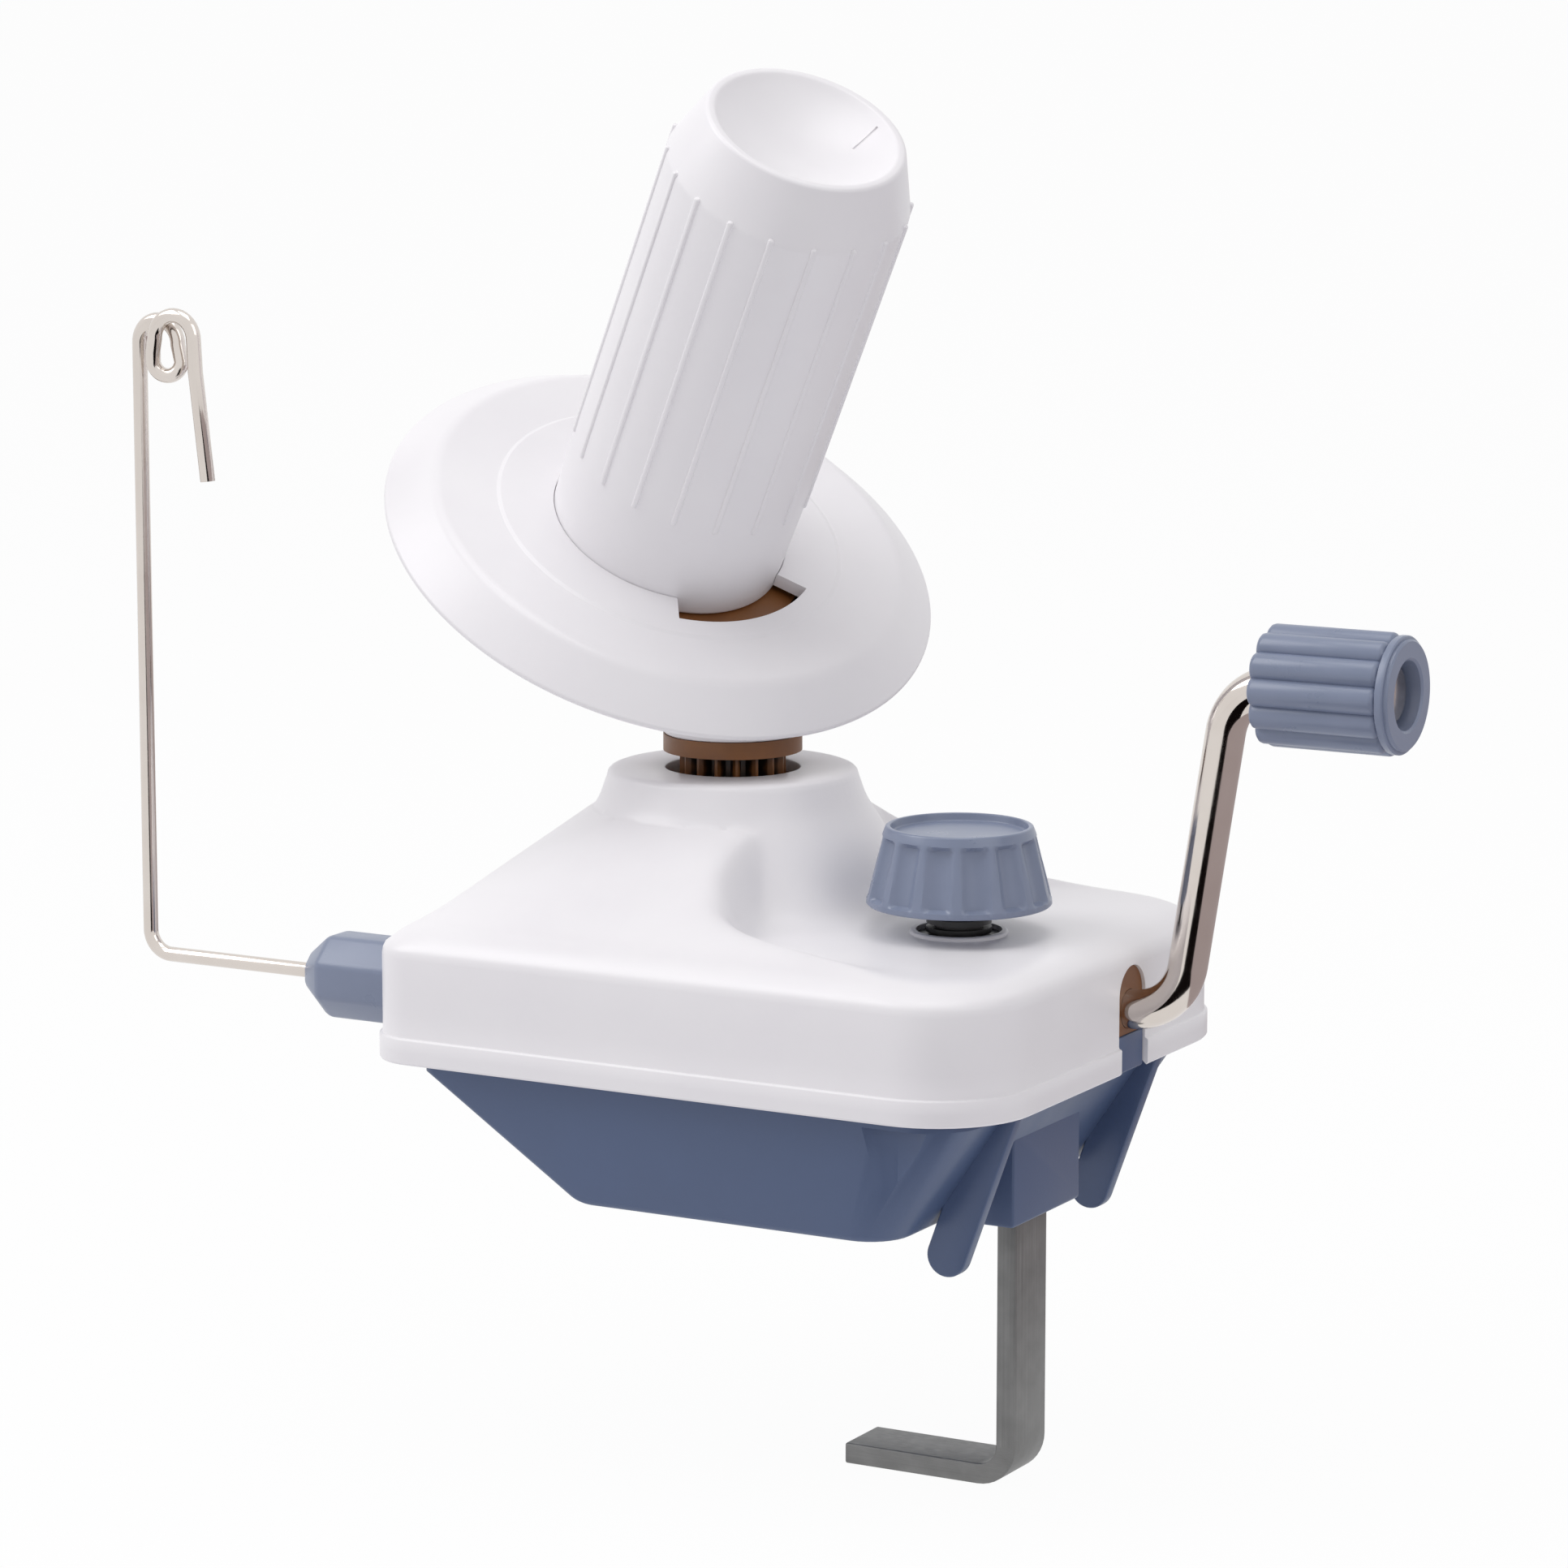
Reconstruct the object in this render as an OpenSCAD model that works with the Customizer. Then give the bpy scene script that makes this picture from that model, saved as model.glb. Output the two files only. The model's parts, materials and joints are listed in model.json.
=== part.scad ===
// Hand-cranked yarn ball winder with a table clamp.
// Millimetres. The winding axis meets the table plane at the origin, +X points to the crank, +Z up.

/* [Housing] */
// length of the housing along the crank rod
body_length = 140; // [136:1:146]
// width of the housing across the crank rod
body_width = 117; // [113:1:121]
// winding axis to the crank end of the housing
axis_to_end = 92; // [91:0.5:94]
// winding axis to the wide side of the housing
axis_to_side = 67; // [65:0.5:69]
// wall of the housing and of the tray
wall = 2.5; // [2.2:0.1:2.8]
// underside of the housing rim above the table
rim_z = 26; // [25:0.5:27]
// top edge of the upright housing wall
shoulder_z = 49.5; // [48.5:0.5:50.5]
// shelf under the clamp knob
shelf_z = 53; // [52:0.5:54]
// radius of the flat ring on top of the neck
neck_r = 25; // [24:0.5:26]
// radius of the hole in the neck
neck_hole_r = 13.9; // [13.5:0.1:14.3]

/* [Crank] */
// diameter of the crank rod
rod_d = 8; // [7.4:0.1:8.2]
// bend radius at the foot of the crank
rod_bend = 12; // [10:0.5:14]
// crank rod to grip, centre to centre
crank_throw = 68; // [60:0.5:72]
// length of the grip
grip_length = 29.5; // [27:0.5:36]
// radius over the ribs of the grip
grip_r = 12.2; // [11.8:0.1:13.4]

/* [Winding head] */
// radius of the disc at its rim
disc_r = 60; // [57:0.5:61]
// radius of the spindle
spindle_r = 25.4; // [25.2:0.1:25.8]
// spindle top above the rim plane of the disc
spindle_top = 110; // [106:0.5:116]
// number of ribs on the spindle
spindle_ribs = 18; // [12:1:24]

/* [Clamp] */
// clamp screw to winding axis, along the crank rod
clamp_x = 59; // [58:0.5:60]
// clamp screw beside the crank rod
clamp_y = -12; // [-14:0.5:-12]
// table plane to the gripping face of the foot
clamp_gap = 54.6; // [48:0.2:60]
// width of the clamp bar
bar_width = 14; // [12:0.5:14]
// thickness of the clamp bar
bar_thick = 4.3; // [3.6:0.1:4.6]

/* [Yarn guide] */
// diameter of the guide wire
wire_d = 3.1; // [2.6:0.1:3.2]
// height of the eye above the socket of the guide
guide_height = 128.4; // [115:0.2:140]
// reach of the guide from the housing wall
guide_reach = 65.6; // [58:0.2:72]

/* [Fits] */
// radial clearance of turning shafts in their bearings
run_fit = 0.05; // [0.03:0.01:0.08]
// radial clearance of pieces that are set fast
set_fit = 0.02; // [0.01:0.01:0.03]
// gap between pieces that pass each other
pass_gap = 0.6; // [0.5:0.1:0.8]

/* [Hidden] */
$fn = 64;

white = [0.95, 0.95, 0.96];
blue = [0.36, 0.41, 0.52];
light_blue = [0.5, 0.56, 0.64];
brown = [0.5, 0.33, 0.19];
steel = [0.72, 0.7, 0.68];
grey_steel = [0.5, 0.5, 0.5];
black = [0.08, 0.08, 0.08];

// housing outline in plan
house_x1 = axis_to_end;
house_x0 = axis_to_end - body_length;
house_y0 = -axis_to_side;
house_y1 = body_width - axis_to_side;
corner_end = 20;
corner_guide = 10;
lip_height = 5.3;
lip_proud = 0.7;
neck_z = 80.5;
slope_top_z = 72;
slope_top_r = 29.5;

// crank rod and crown gear
gear_module = 1.25;
rod_r = rod_d / 2;
crank_z = 38.5;
wind_teeth = 16;
wind_ring_teeth = 52;
drive_teeth = 12;
drive_ring_teeth = 30;
wind_r = gear_module * wind_teeth / 2;
wind_ring_r = gear_module * wind_ring_teeth / 2;
drive_r = gear_module * drive_teeth / 2;
drive_ring_r = gear_module * drive_ring_teeth / 2;
ring_half_face = 2.3;
tooth_add = 1.1;
tooth_ded = 1.6;
wheel_x = wind_r + tooth_ded;
wheel_back_x = wheel_x + 3.4;
hub_r = 8;
hub_end_x = 29.5;
saddle_x = 30;
saddle_len = 7;
arm_angle = 81;
top_bend = rod_bend;
foot_x = house_x1 + 0.3;
arm_x0 = foot_x + rod_bend * sin(arm_angle);
arm_z0 = crank_z + rod_bend * (1 - cos(arm_angle));
grip_z = crank_z + crank_throw;
arm_z1 = grip_z - top_bend * (1 - cos(arm_angle));
arm_x1 = arm_x0 + (arm_z1 - arm_z0) / tan(arm_angle);
bend_end_x = arm_x1 + top_bend * sin(arm_angle);
grip_entry = 3.2;
grip_x = bend_end_x + 0.6 - grip_entry;
grip_recess = 6;
bend_swell = 0.02;
bend_overlap = 0.3;
notch_half = 6;
notch_arch_z = crank_z + 3;

// winding head: the spindle axis crosses the winding axis at cross_z, cross_below above the disc's rim plane
tilt = 33.2;
tilt_dir = -30.3;
flange_z = 84;
flange_top_z = 87.5;
flange_r = neck_hole_r + 0.5;
seat_height = 6;
pinion_z = 61.8;
shaft_r = 3;
bevel_teeth = 12;
spindle_teeth = 36;
bevel_cone = atan(sin(tilt) / (spindle_teeth / bevel_teeth + cos(tilt)));
spindle_cone = tilt - bevel_cone;
bevel_mid = 72.5;
bevel_half = 2.25;
bevel_add = 1.25;
bevel_ded = 1.6;
bevel_low_r = (bevel_mid + bevel_half) * sin(bevel_cone) + bevel_add * cos(bevel_cone);
shell_r = 25;
shell_foot_z = 4.1;
disc_hole_r = shell_r + pass_gap;
gear_top_z = -7.727;
gear_low_z = gear_top_z - 2 * bevel_half * cos(spindle_cone);
cross_z = flange_top_z + seat_height + 0.5 + (bevel_mid + bevel_half) * cos(bevel_cone);
cross_below = gear_top_z + (bevel_mid - bevel_half) * cos(spindle_cone);
gear_top_r = (bevel_mid - bevel_half) * sin(spindle_cone);
gear_low_r = (bevel_mid + bevel_half) * sin(spindle_cone);
cup_r = gear_low_r + bevel_add + pass_gap + 0.2;
cup_floor_z = gear_low_z - 1.2;
shell_wall = 2.2;
shell_in_r = shell_r - shell_wall;
bush_z = spindle_top - 26;

// clamp
bar_x0 = clamp_x + 12.5;
bar_bend = 8.5;
foot_x0 = bar_x0 - 34.6;
screw_r = 5;
arm_rest_z = 12;
knob_z = shelf_z + 6;
knob_h = 16;

// yarn guide
wire_r = wire_d / 2;
guide_y = house_y0 + 19;
guide_z = 38.5;
guide_x = house_x0 - guide_reach;
holder_len = 24.4;

// plate with straight sides and round corners, left and right radii apart
module plate(grow, low, high)
{
    x0 = house_x0 - grow;
    x1 = house_x1 + grow;
    y0 = house_y0 - grow;
    y1 = house_y1 + grow;
    rl = max(corner_guide + grow, 2);
    rr = max(corner_end + grow, 2);
    translate([x0 + rl, y0, low])
        cube([x1 - x0 - rl - rr, y1 - y0, high - low]);
    translate([x0, y0 + rl, low])
        cube([rl + 1, y1 - y0 - 2 * rl, high - low]);
    translate([x1 - rr - 1, y0 + rr, low])
        cube([rr + 1, y1 - y0 - 2 * rr, high - low]);
    for (y = [y0 + rl, y1 - rl])
        translate([x0 + rl, y, low])
            cylinder(h = high - low, r = rl);
    for (y = [y0 + rr, y1 - rr])
        translate([x1 - rr, y, low])
            cylinder(h = high - low, r = rr);
}

// corner posts of a plate, for hulls
module plate_corners(grow, low, high)
{
    rl = max(corner_guide + grow, 2);
    rr = max(corner_end + grow, 2);
    for (y = [house_y0 - grow + rl, house_y1 + grow - rl])
        translate([house_x0 - grow + rl, y, low])
            cylinder(h = high - low, r = rl, $fn = 32);
    for (y = [house_y0 - grow + rr, house_y1 + grow - rr])
        translate([house_x1 + grow - rr, y, low])
            cylinder(h = high - low, r = rr, $fn = 32);
}

// slope from the shoulder up to the neck
module slope(inset)
{
    hull()
    {
        plate_corners(-1 - inset, shoulder_z - 2 - inset, shoulder_z - 0.3 - inset);
        translate([0, 0, slope_top_z - 1 - inset])
            cylinder(h = 1, r = slope_top_r - inset, $fn = 32);
    }
}

// room for the knob, cut out of the slope
module scoop(inset)
{
    near = house_y0;
    far = house_y1;
    translate([0, 0, shelf_z - 4])
        linear_extrude(40)
            polygon([[house_x1 + 8, near - 6], [house_x1 - 8 - inset, near + 4 - inset],
                [house_x1 - 15 - inset, near + 7.3 - inset], [house_x1 - 33 - inset, near + 12 - inset],
                [house_x1 - 50 - inset, near + 15 - inset], [house_x1 - 61 - inset, near + 17.3 - inset],
                [25.2 - inset, near + 21.4 - inset], [22 - inset, near + 29.5 - inset],
                [20 - inset, -24 - inset], [14 - inset, 0], [20 - inset, 24 + inset], [23 - inset, 30 + inset],
                [30 - inset, 36 + inset], [house_x1 - 45 - inset, far - 8 + inset],
                [house_x1 - 22 - inset, far - 4 + inset], [house_x1 - 6 - inset, far - 1 + inset],
                [house_x1 + 8, far + 6]]);
}

// round neck that flares into the slope
module neck(inset)
{
    rotate_extrude()
        polygon([[0, shoulder_z - 2], [neck_r + 20 - inset, shoulder_z - 2],
            [neck_r + 17 - inset, shelf_z + 0.5 - inset], [neck_r + 13.5 - inset, shelf_z + 3 - inset],
            [neck_r + 11 - inset, shelf_z + 6.5 - inset], [neck_r + 8.6 - inset, shelf_z + 11.5 - inset],
            [neck_r + 6.6 - inset, shelf_z + 15.4 - inset], [neck_r + 4.4 - inset, shelf_z + 18.2 - inset],
            [neck_r + 2.6 - inset, shelf_z + 21.4 - inset], [neck_r + 1.3 - inset, neck_z - 2.4 - inset],
            [neck_r + 0.8 - inset, neck_z - 0.8 - inset], [neck_r - 0.1 - inset, neck_z - inset],
            [0, neck_z - inset]]);
}

module screw_spots()
{
    for (p = [[house_x0 + 28, house_y0 + 14], [house_x0 + 28, house_y1 - 14],
              [house_x1 - 31, house_y0 + 14], [house_x1 - 31, house_y1 - 14]])
        translate([p[0], p[1], 0])
            children();
}

// outer form of the housing, or its hollow when inset
module housing_form(inset)
{
    plate(-inset, rim_z - inset, shoulder_z - inset);
    hull()
    {
        plate_corners(-inset, shoulder_z - 2 - inset, shoulder_z - inset);
        plate_corners(-3.5 - inset, shelf_z - 1 - inset, shelf_z - inset);
    }
    difference()
    {
        slope(inset);
        scoop(inset);
    }
    neck(inset);
}

module top_housing()
{
    color(white)
    difference()
    {
        union()
        {
            housing_form(0);
            plate(lip_proud, rim_z, rim_z + lip_height);
            translate([clamp_x, clamp_y, shelf_z - 1])
                cylinder(h = 1.8, r = 9.9);
        }
        difference()
        {
            housing_form(wall);
            screw_spots()
                translate([0, 0, rim_z + 2.2])
                    cylinder(h = 60, r = 4.5);
            difference()
            {
                translate([0, 0, neck_z - 4.9])
                    cylinder(h = 6, r = 18.5);
                translate([0, 0, neck_z - 5.9])
                    cylinder(h = 3.4, r = 16 + set_fit);
            }
        }
        translate([0, 0, neck_z - 8])
            cylinder(h = 12, r = neck_hole_r);
        translate([clamp_x, clamp_y, shelf_z - wall - 2])
            cylinder(h = wall + 5, r = 8.7);
        translate([house_x1 - wall - 2, -notch_half, rim_z - 1])
            cube([wall + 4, 2 * notch_half, notch_arch_z - rim_z + 1]);
        translate([house_x1 - wall - 2, 0, notch_arch_z])
            rotate([0, 90, 0])
                cylinder(h = wall + 4, r = notch_half);
        screw_spots()
            translate([0, 0, rim_z])
                cylinder(h = 16, r = 1.5 + set_fit);
        translate([house_x0 - 1, guide_y, guide_z])
            rotate([0, 90, 0])
                cylinder(h = wall + 2, r = 1.5 + set_fit);
    }
}

// corner posts of the tray's top edge, inset for its hollow
module tray_mouth(inset, low, high)
{
    top_x0 = house_x0 + 11 + inset;
    top_x1 = house_x1 - 7 - inset;
    top_y = body_width / 2 - 4 - inset;
    mid_y = (house_y0 + house_y1) / 2;
    for (side = [-1, 1])
    {
        translate([top_x0 + 3, mid_y + side * (top_y - 3), low])
            cylinder(h = high - low, r = 3, $fn = 32);
        translate([top_x1 - 12, mid_y + side * (top_y - 12), low])
            cylinder(h = high - low, r = 12, $fn = 32);
    }
}

// outer form of the tray, or its hollow when inset: straight flanks, sloped end under the yarn guide
module tray_form(inset)
{
    low_x0 = -6 + 0.7 * inset;
    low_x1 = house_x1 - 22 - inset;
    low_y = body_width / 2 - 6 - inset;
    mid_y = (house_y0 + house_y1) / 2;
    hull()
    {
        tray_mouth(inset, rim_z - 2, rim_z);
        for (side = [-1, 1])
        {
            translate([low_x0 + 1.4, mid_y + side * (low_y - 3), 3 + inset])
                cylinder(h = 1, r = 3, $fn = 32);
            translate([low_x0 + 6, mid_y + side * (low_y - 4), inset])
                cylinder(h = 1, r = 2.5, $fn = 32);
            translate([low_x1 - 10, mid_y + side * (low_y - 10), 3 + inset])
                cylinder(h = 1, r = 10, $fn = 32);
            translate([low_x1 - 10, mid_y + side * (low_y - 10), inset])
                cylinder(h = 1, r = 8, $fn = 32);
        }
    }
}

// leg that stands off the table edge, slanting inwards
module leg(y)
{
    half = 4.3;
    thick = 3.2;
    translate([house_x1 - 4.5, y, rim_z - 2.5])
        rotate([0, 20, 0])
            translate([-4.1, thick / 2, -32])
            {
                translate([-half, -thick, 0])
                    cube([2 * half, thick, 34.5]);
                rotate([90, 0, 0])
                    cylinder(h = thick, r = half);
            }
}

module bottom_tray()
{
    sleeve_y = bar_width / 2 + 8;
    sleeve_x = bar_x0 + bar_thick + 3.4;
    scoop_r = 14;
    color(blue)
    difference()
    {
        union()
        {
            difference()
            {
                union()
                {
                    tray_form(0);
                    plate(-wall - 0.3, rim_z - 0.1, rim_z + 2);
                    translate([clamp_x + 2, clamp_y - sleeve_y, -2.6])
                        cube([sleeve_x - clamp_x - 2, 2 * sleeve_y, rim_z]);
                    for (side = [-1, 1])
                        leg(clamp_y + 2 + 32 * side);
                }
                difference()
                {
                    translate([0, 0, 0.1])
                        tray_form(wall);
                    screw_spots()
                        cylinder(h = rim_z + 2, r = 6.4);
                    translate([house_x1 - 32, house_y0, 0])
                        cube([24, 9.5, rim_z]);
                    cylinder(h = 12, r = 7.6);
                }
                difference()
                {
                    hull()
                        tray_mouth(wall, rim_z - 1, rim_z + 3);
                    screw_spots()
                        cylinder(h = rim_z + 2, r = 6.4);
                }
                translate([clamp_x - 14, clamp_y - sleeve_y + wall, wall])
                    cube([sleeve_x - wall - clamp_x + 14, 2 * sleeve_y - 2 * wall, rim_z]);
            }
            translate([house_x1 - wall, -notch_half + 0.2, rim_z - 0.1])
                cube([wall - 0.3, 2 * notch_half - 0.4, crank_z - 5 - rim_z]);
            translate([house_x1 - wall - 2, -notch_half + 0.2, rim_z - 0.1])
                cube([wall + 1.7, 2 * notch_half - 0.4, 2.1]);
        }
        screw_spots()
        {
            translate([0, 0, -5])
                cylinder(h = rim_z + 2.5, r = 4.2);
            translate([0, 0, -5])
                cylinder(h = rim_z + 12, r = 1.5 + set_fit);
        }
        translate([house_x1 - 20, house_y0 + 6.4 - scoop_r, rim_z - 1.5])
            rotate([177.7, 0, 0])
                cylinder(h = 22, r = scoop_r);
        translate([bar_x0 - 0.4, clamp_y - bar_width / 2 - 0.4, -4])
            cube([bar_thick + 0.8, bar_width + 0.8, 10]);
        translate([0, 0, 4])
            cylinder(h = 12, r = 5.5 + set_fit);
    }
}

module housing_screws()
{
    color(grey_steel)
    screw_spots()
        difference()
        {
            union()
            {
                translate([0, 0, rim_z - 4.9])
                    cylinder(h = 2.4, r = 3);
                translate([0, 0, rim_z - 3])
                    cylinder(h = 18, r = 1.5);
            }
            translate([-2, -0.4, rim_z - 5])
                cube([4, 0.8, 1.2]);
            translate([-0.4, -2, rim_z - 5])
                cube([0.8, 4, 1.2]);
        }
}

module neck_bush()
{
    color(brown)
    translate([0, 0, neck_z - 5])
        difference()
        {
            cylinder(h = 2.4, r = 16);
            translate([0, 0, -1])
                cylinder(h = 5, r = wind_r + 1.6 + run_fit);
        }
}

module shaft_bush()
{
    color(brown)
    translate([0, 0, 4.2])
        difference()
        {
            cylinder(h = 8.4, r = 5.5);
            translate([0, 0, 1])
                cylinder(h = 9, r = shaft_r + run_fit);
        }
}

module crank_bush()
{
    half = notch_half - 0.1;
    color(brown)
    translate([house_x1 - wall - 1.2, 0, 0])
        difference()
        {
            union()
            {
                translate([0, -half, crank_z - 5])
                    cube([3, 2 * half, notch_arch_z - crank_z + 5]);
                translate([0, 0, notch_arch_z])
                    rotate([0, 90, 0])
                        cylinder(h = 3, r = half);
            }
            translate([-1, 0, crank_z])
                rotate([0, 90, 0])
                    cylinder(h = 6, r = rod_r + run_fit);
        }
}

module shaft_saddle()
{
    color(brown)
    difference()
    {
        translate([saddle_x, -8, wall + 0.1])
            cube([saddle_len, 16, crank_z + 6]);
        translate([saddle_x - 1, 0, crank_z])
            rotate([0, 90, 0])
                cylinder(h = saddle_len + 2, r = rod_r + run_fit);
        translate([saddle_x - 1, -4.5, wall - 1])
            cube([saddle_len + 2, 9, 24]);
    }
}

module screw_bush()
{
    color(black)
    translate([clamp_x, clamp_y, shelf_z - wall - 1.5])
        difference()
        {
            union()
            {
                cylinder(h = wall + 1.3, r = 8.7 - set_fit);
                cylinder(h = 1.4, r = 11);
            }
            translate([0, 0, -1])
                cylinder(h = wall + 4, r = screw_r + run_fit);
        }
}

module guide_holder()
{
    half_flat = 8.6;
    tip_half_flat = 4.1;
    taper = 5.8;
    color(light_blue)
    translate([house_x0, guide_y, guide_z])
        rotate([0, -90, 0])
            difference()
            {
                union()
                {
                    cylinder(h = 2.2, r = 6.8);
                    translate([0, 0, 1.2])
                        rotate([0, 0, 22.5])
                            cylinder(h = holder_len - 1.2, r = half_flat / cos(22.5), $fn = 8);
                }
                for (i = [0 : 7])
                    rotate([0, 0, 45 * i])
                        translate([half_flat, -half_flat, holder_len - taper])
                            rotate([0, -atan((half_flat - tip_half_flat) / taper), 0])
                                translate([0, 0, -1])
                                    cube([half_flat, 2 * half_flat, 2 * taper]);
                translate([0, 0, 11])
                    cylinder(h = holder_len, r = wire_r + run_fit);
                translate([0, 0, -1])
                    cylinder(h = 10, r = 1.5 + set_fit);
            }
}

module holder_screw()
{
    color(grey_steel)
    translate([house_x0 + wall + 0.05, guide_y, guide_z])
        rotate([0, -90, 0])
        {
            cylinder(h = wall + 8, r = 1.5);
            translate([0, 0, -2.2])
                cylinder(h = 2.2, r = 3.1);
        }
}

// bend of the crank rod about the Y axis, a touch thicker, so that the straight stretches end inside it
module rod_elbow(bend_r, start_angle)
{
    rotate([90, 0, 0])
        rotate([0, 0, start_angle])
            rotate_extrude(angle = arm_angle)
                translate([bend_r, 0])
                    circle(r = rod_r + bend_swell);
}

module crank_rod()
{
    start_x = wind_r - 1.4;
    end_x = grip_x + grip_length - grip_recess + 2;
    color(steel)
    difference()
    {
        union()
        {
            translate([start_x, 0, crank_z])
                rotate([0, 90, 0])
                    cylinder(h = foot_x + bend_overlap - start_x, r = rod_r);
            translate([foot_x, 0, crank_z + rod_bend])
                rod_elbow(rod_bend, -90);
            translate([arm_x0, 0, arm_z0])
                rotate([0, 90 - arm_angle, 0])
                    translate([0, 0, -bend_overlap])
                        cylinder(h = (arm_z1 - arm_z0) / sin(arm_angle) + 2 * bend_overlap, r = rod_r);
            translate([bend_end_x, 0, grip_z - top_bend])
                rod_elbow(top_bend, 90);
            translate([bend_end_x - bend_overlap, 0, grip_z])
                rotate([0, 90, 0])
                    cylinder(h = end_x - bend_end_x + bend_overlap, r = rod_r);
        }
        translate([22, 0, crank_z - 10])
            cylinder(h = 20, r = 1.25 + set_fit);
    }
}

// straight tooth standing on a face, its length along the radius
module face_tooth(r0, r1, low, high, base, tip)
{
    translate([r0, 0, 0])
        rotate([90, 0, 90])
            linear_extrude(r1 - r0)
                polygon([[-base, low], [base, low], [tip, high], [-tip, high]]);
}

module ring_teeth(count, ring_r, pitch_z)
{
    for (i = [0 : count - 1])
        rotate([0, 0, i * 360 / count])
            face_tooth(ring_r - ring_half_face, ring_r + ring_half_face, pitch_z - tooth_ded - 0.4,
                pitch_z + tooth_add, 1.3, 0.36);
}

module crown_gear()
{
    color(brown)
    translate([0, 0, crank_z])
        rotate([0, -90, 0])
            difference()
            {
                union()
                {
                    translate([0, 0, -wheel_back_x])
                        cylinder(h = wheel_back_x - wheel_x, r = wind_ring_r + ring_half_face + 0.4);
                    translate([0, 0, -wheel_back_x])
                        cylinder(h = wheel_back_x - drive_r - tooth_ded, r = drive_ring_r + ring_half_face + 0.4);
                    translate([0, 0, -hub_end_x])
                        cylinder(h = hub_end_x - wind_r, r = hub_r);
                    ring_teeth(wind_ring_teeth, wind_ring_r, -wind_r);
                    ring_teeth(drive_ring_teeth, drive_ring_r, -drive_r);
                }
                translate([0, 0, -hub_end_x - 1])
                    cylinder(h = hub_end_x, r = rod_r + set_fit);
                translate([-20, 0, -22])
                    rotate([0, 90, 0])
                        cylinder(h = 40, r = 1.25 + set_fit);
            }
}

module gear_pin()
{
    color(steel)
    translate([22, 0, crank_z - hub_r + 0.2])
        cylinder(h = 2 * hub_r - 0.4, r = 1.25);
}

module shaft_collar()
{
    color(grey_steel)
    translate([saddle_x + saddle_len + 0.5, 0, crank_z])
        rotate([0, 90, 0])
            difference()
            {
                cylinder(h = 5, r = rod_r + 3);
                translate([0, 0, -1])
                    cylinder(h = 7, r = rod_r + set_fit);
            }
}

module grip_cap()
{
    color(steel)
    translate([grip_x + grip_length - grip_recess + 0.5, 0, grip_z])
        rotate([0, 90, 0])
            difference()
            {
                cylinder(h = 2.6, r = 5.4);
                translate([0, 0, -1])
                    cylinder(h = 2.6, r = rod_r + set_fit);
            }
}

module crank_grip()
{
    rib = grip_r * 0.24;
    color(light_blue)
    translate([grip_x, 0, grip_z])
        rotate([0, 90, 0])
            difference()
            {
                union()
                {
                    cylinder(h = grip_length - 1, r = grip_r - 1.8);
                    for (i = [0 : 11])
                        rotate([0, 0, i * 30])
                            translate([grip_r - rib, 0, 0])
                                cylinder(h = grip_length - 2.6, r = rib);
                    translate([0, 0, grip_length - 3])
                        cylinder(h = 2.2, r = grip_r - 0.5);
                    translate([0, 0, grip_length - 2])
                        cylinder(h = 2, r = grip_r - 1.2);
                }
                translate([0, 0, -1])
                    cylinder(h = grip_length + 2, r = rod_r + run_fit);
                translate([0, 0, -1])
                    cylinder(h = grip_entry + 1, r = rod_r + 1);
                translate([0, 0, grip_length - grip_recess])
                    cylinder(h = grip_recess + 1, r = 6.9);
            }
}

module spur_teeth(count, pitch_r, low, high)
{
    for (i = [0 : count - 1])
        rotate([0, 0, (i + 0.5) * 360 / count])
            translate([0, 0, low])
                linear_extrude(high - low)
                    polygon([[pitch_r - 2.2, -1.1], [pitch_r, -0.72], [pitch_r + 1, -0.28],
                        [pitch_r + 1, 0.28], [pitch_r, 0.72], [pitch_r - 2.2, 1.1]]);
}

module flange_screw_spots()
{
    for (i = [0 : 2])
        rotate([0, 0, 30 + i * 120])
            translate([flange_r - 2.3, 0, 0])
                children();
}

module winding_pinion()
{
    color(brown)
    difference()
    {
        union()
        {
            translate([0, 0, pinion_z])
                cylinder(h = flange_z - pinion_z, r = wind_r - 2);
            spur_teeth(wind_teeth, wind_r, pinion_z + 5.6, flange_z + 0.2);
            translate([0, 0, neck_z - 5.2])
                cylinder(h = 2.8, r = wind_r + 1.6);
            translate([0, 0, flange_z])
                cylinder(h = flange_top_z - flange_z, r = flange_r);
        }
        translate([0, 0, pinion_z - 1])
            cylinder(h = 40, r = shaft_r + run_fit);
        flange_screw_spots()
        {
            translate([0, 0, flange_z - 1])
                cylinder(h = 8, r = 0.9 + set_fit);
            translate([0, 0, flange_z - 0.1])
                cylinder(h = 1.5, r = 1.6 + set_fit);
        }
    }
}

// frame of the tilted spindle: origin in the rim plane of the disc, axis up the spindle
module tilted()
{
    translate([0, 0, cross_z])
        rotate([0, 0, tilt_dir])
            rotate([0, tilt, 0])
                translate([0, 0, -cross_below])
                    children();
}

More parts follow.
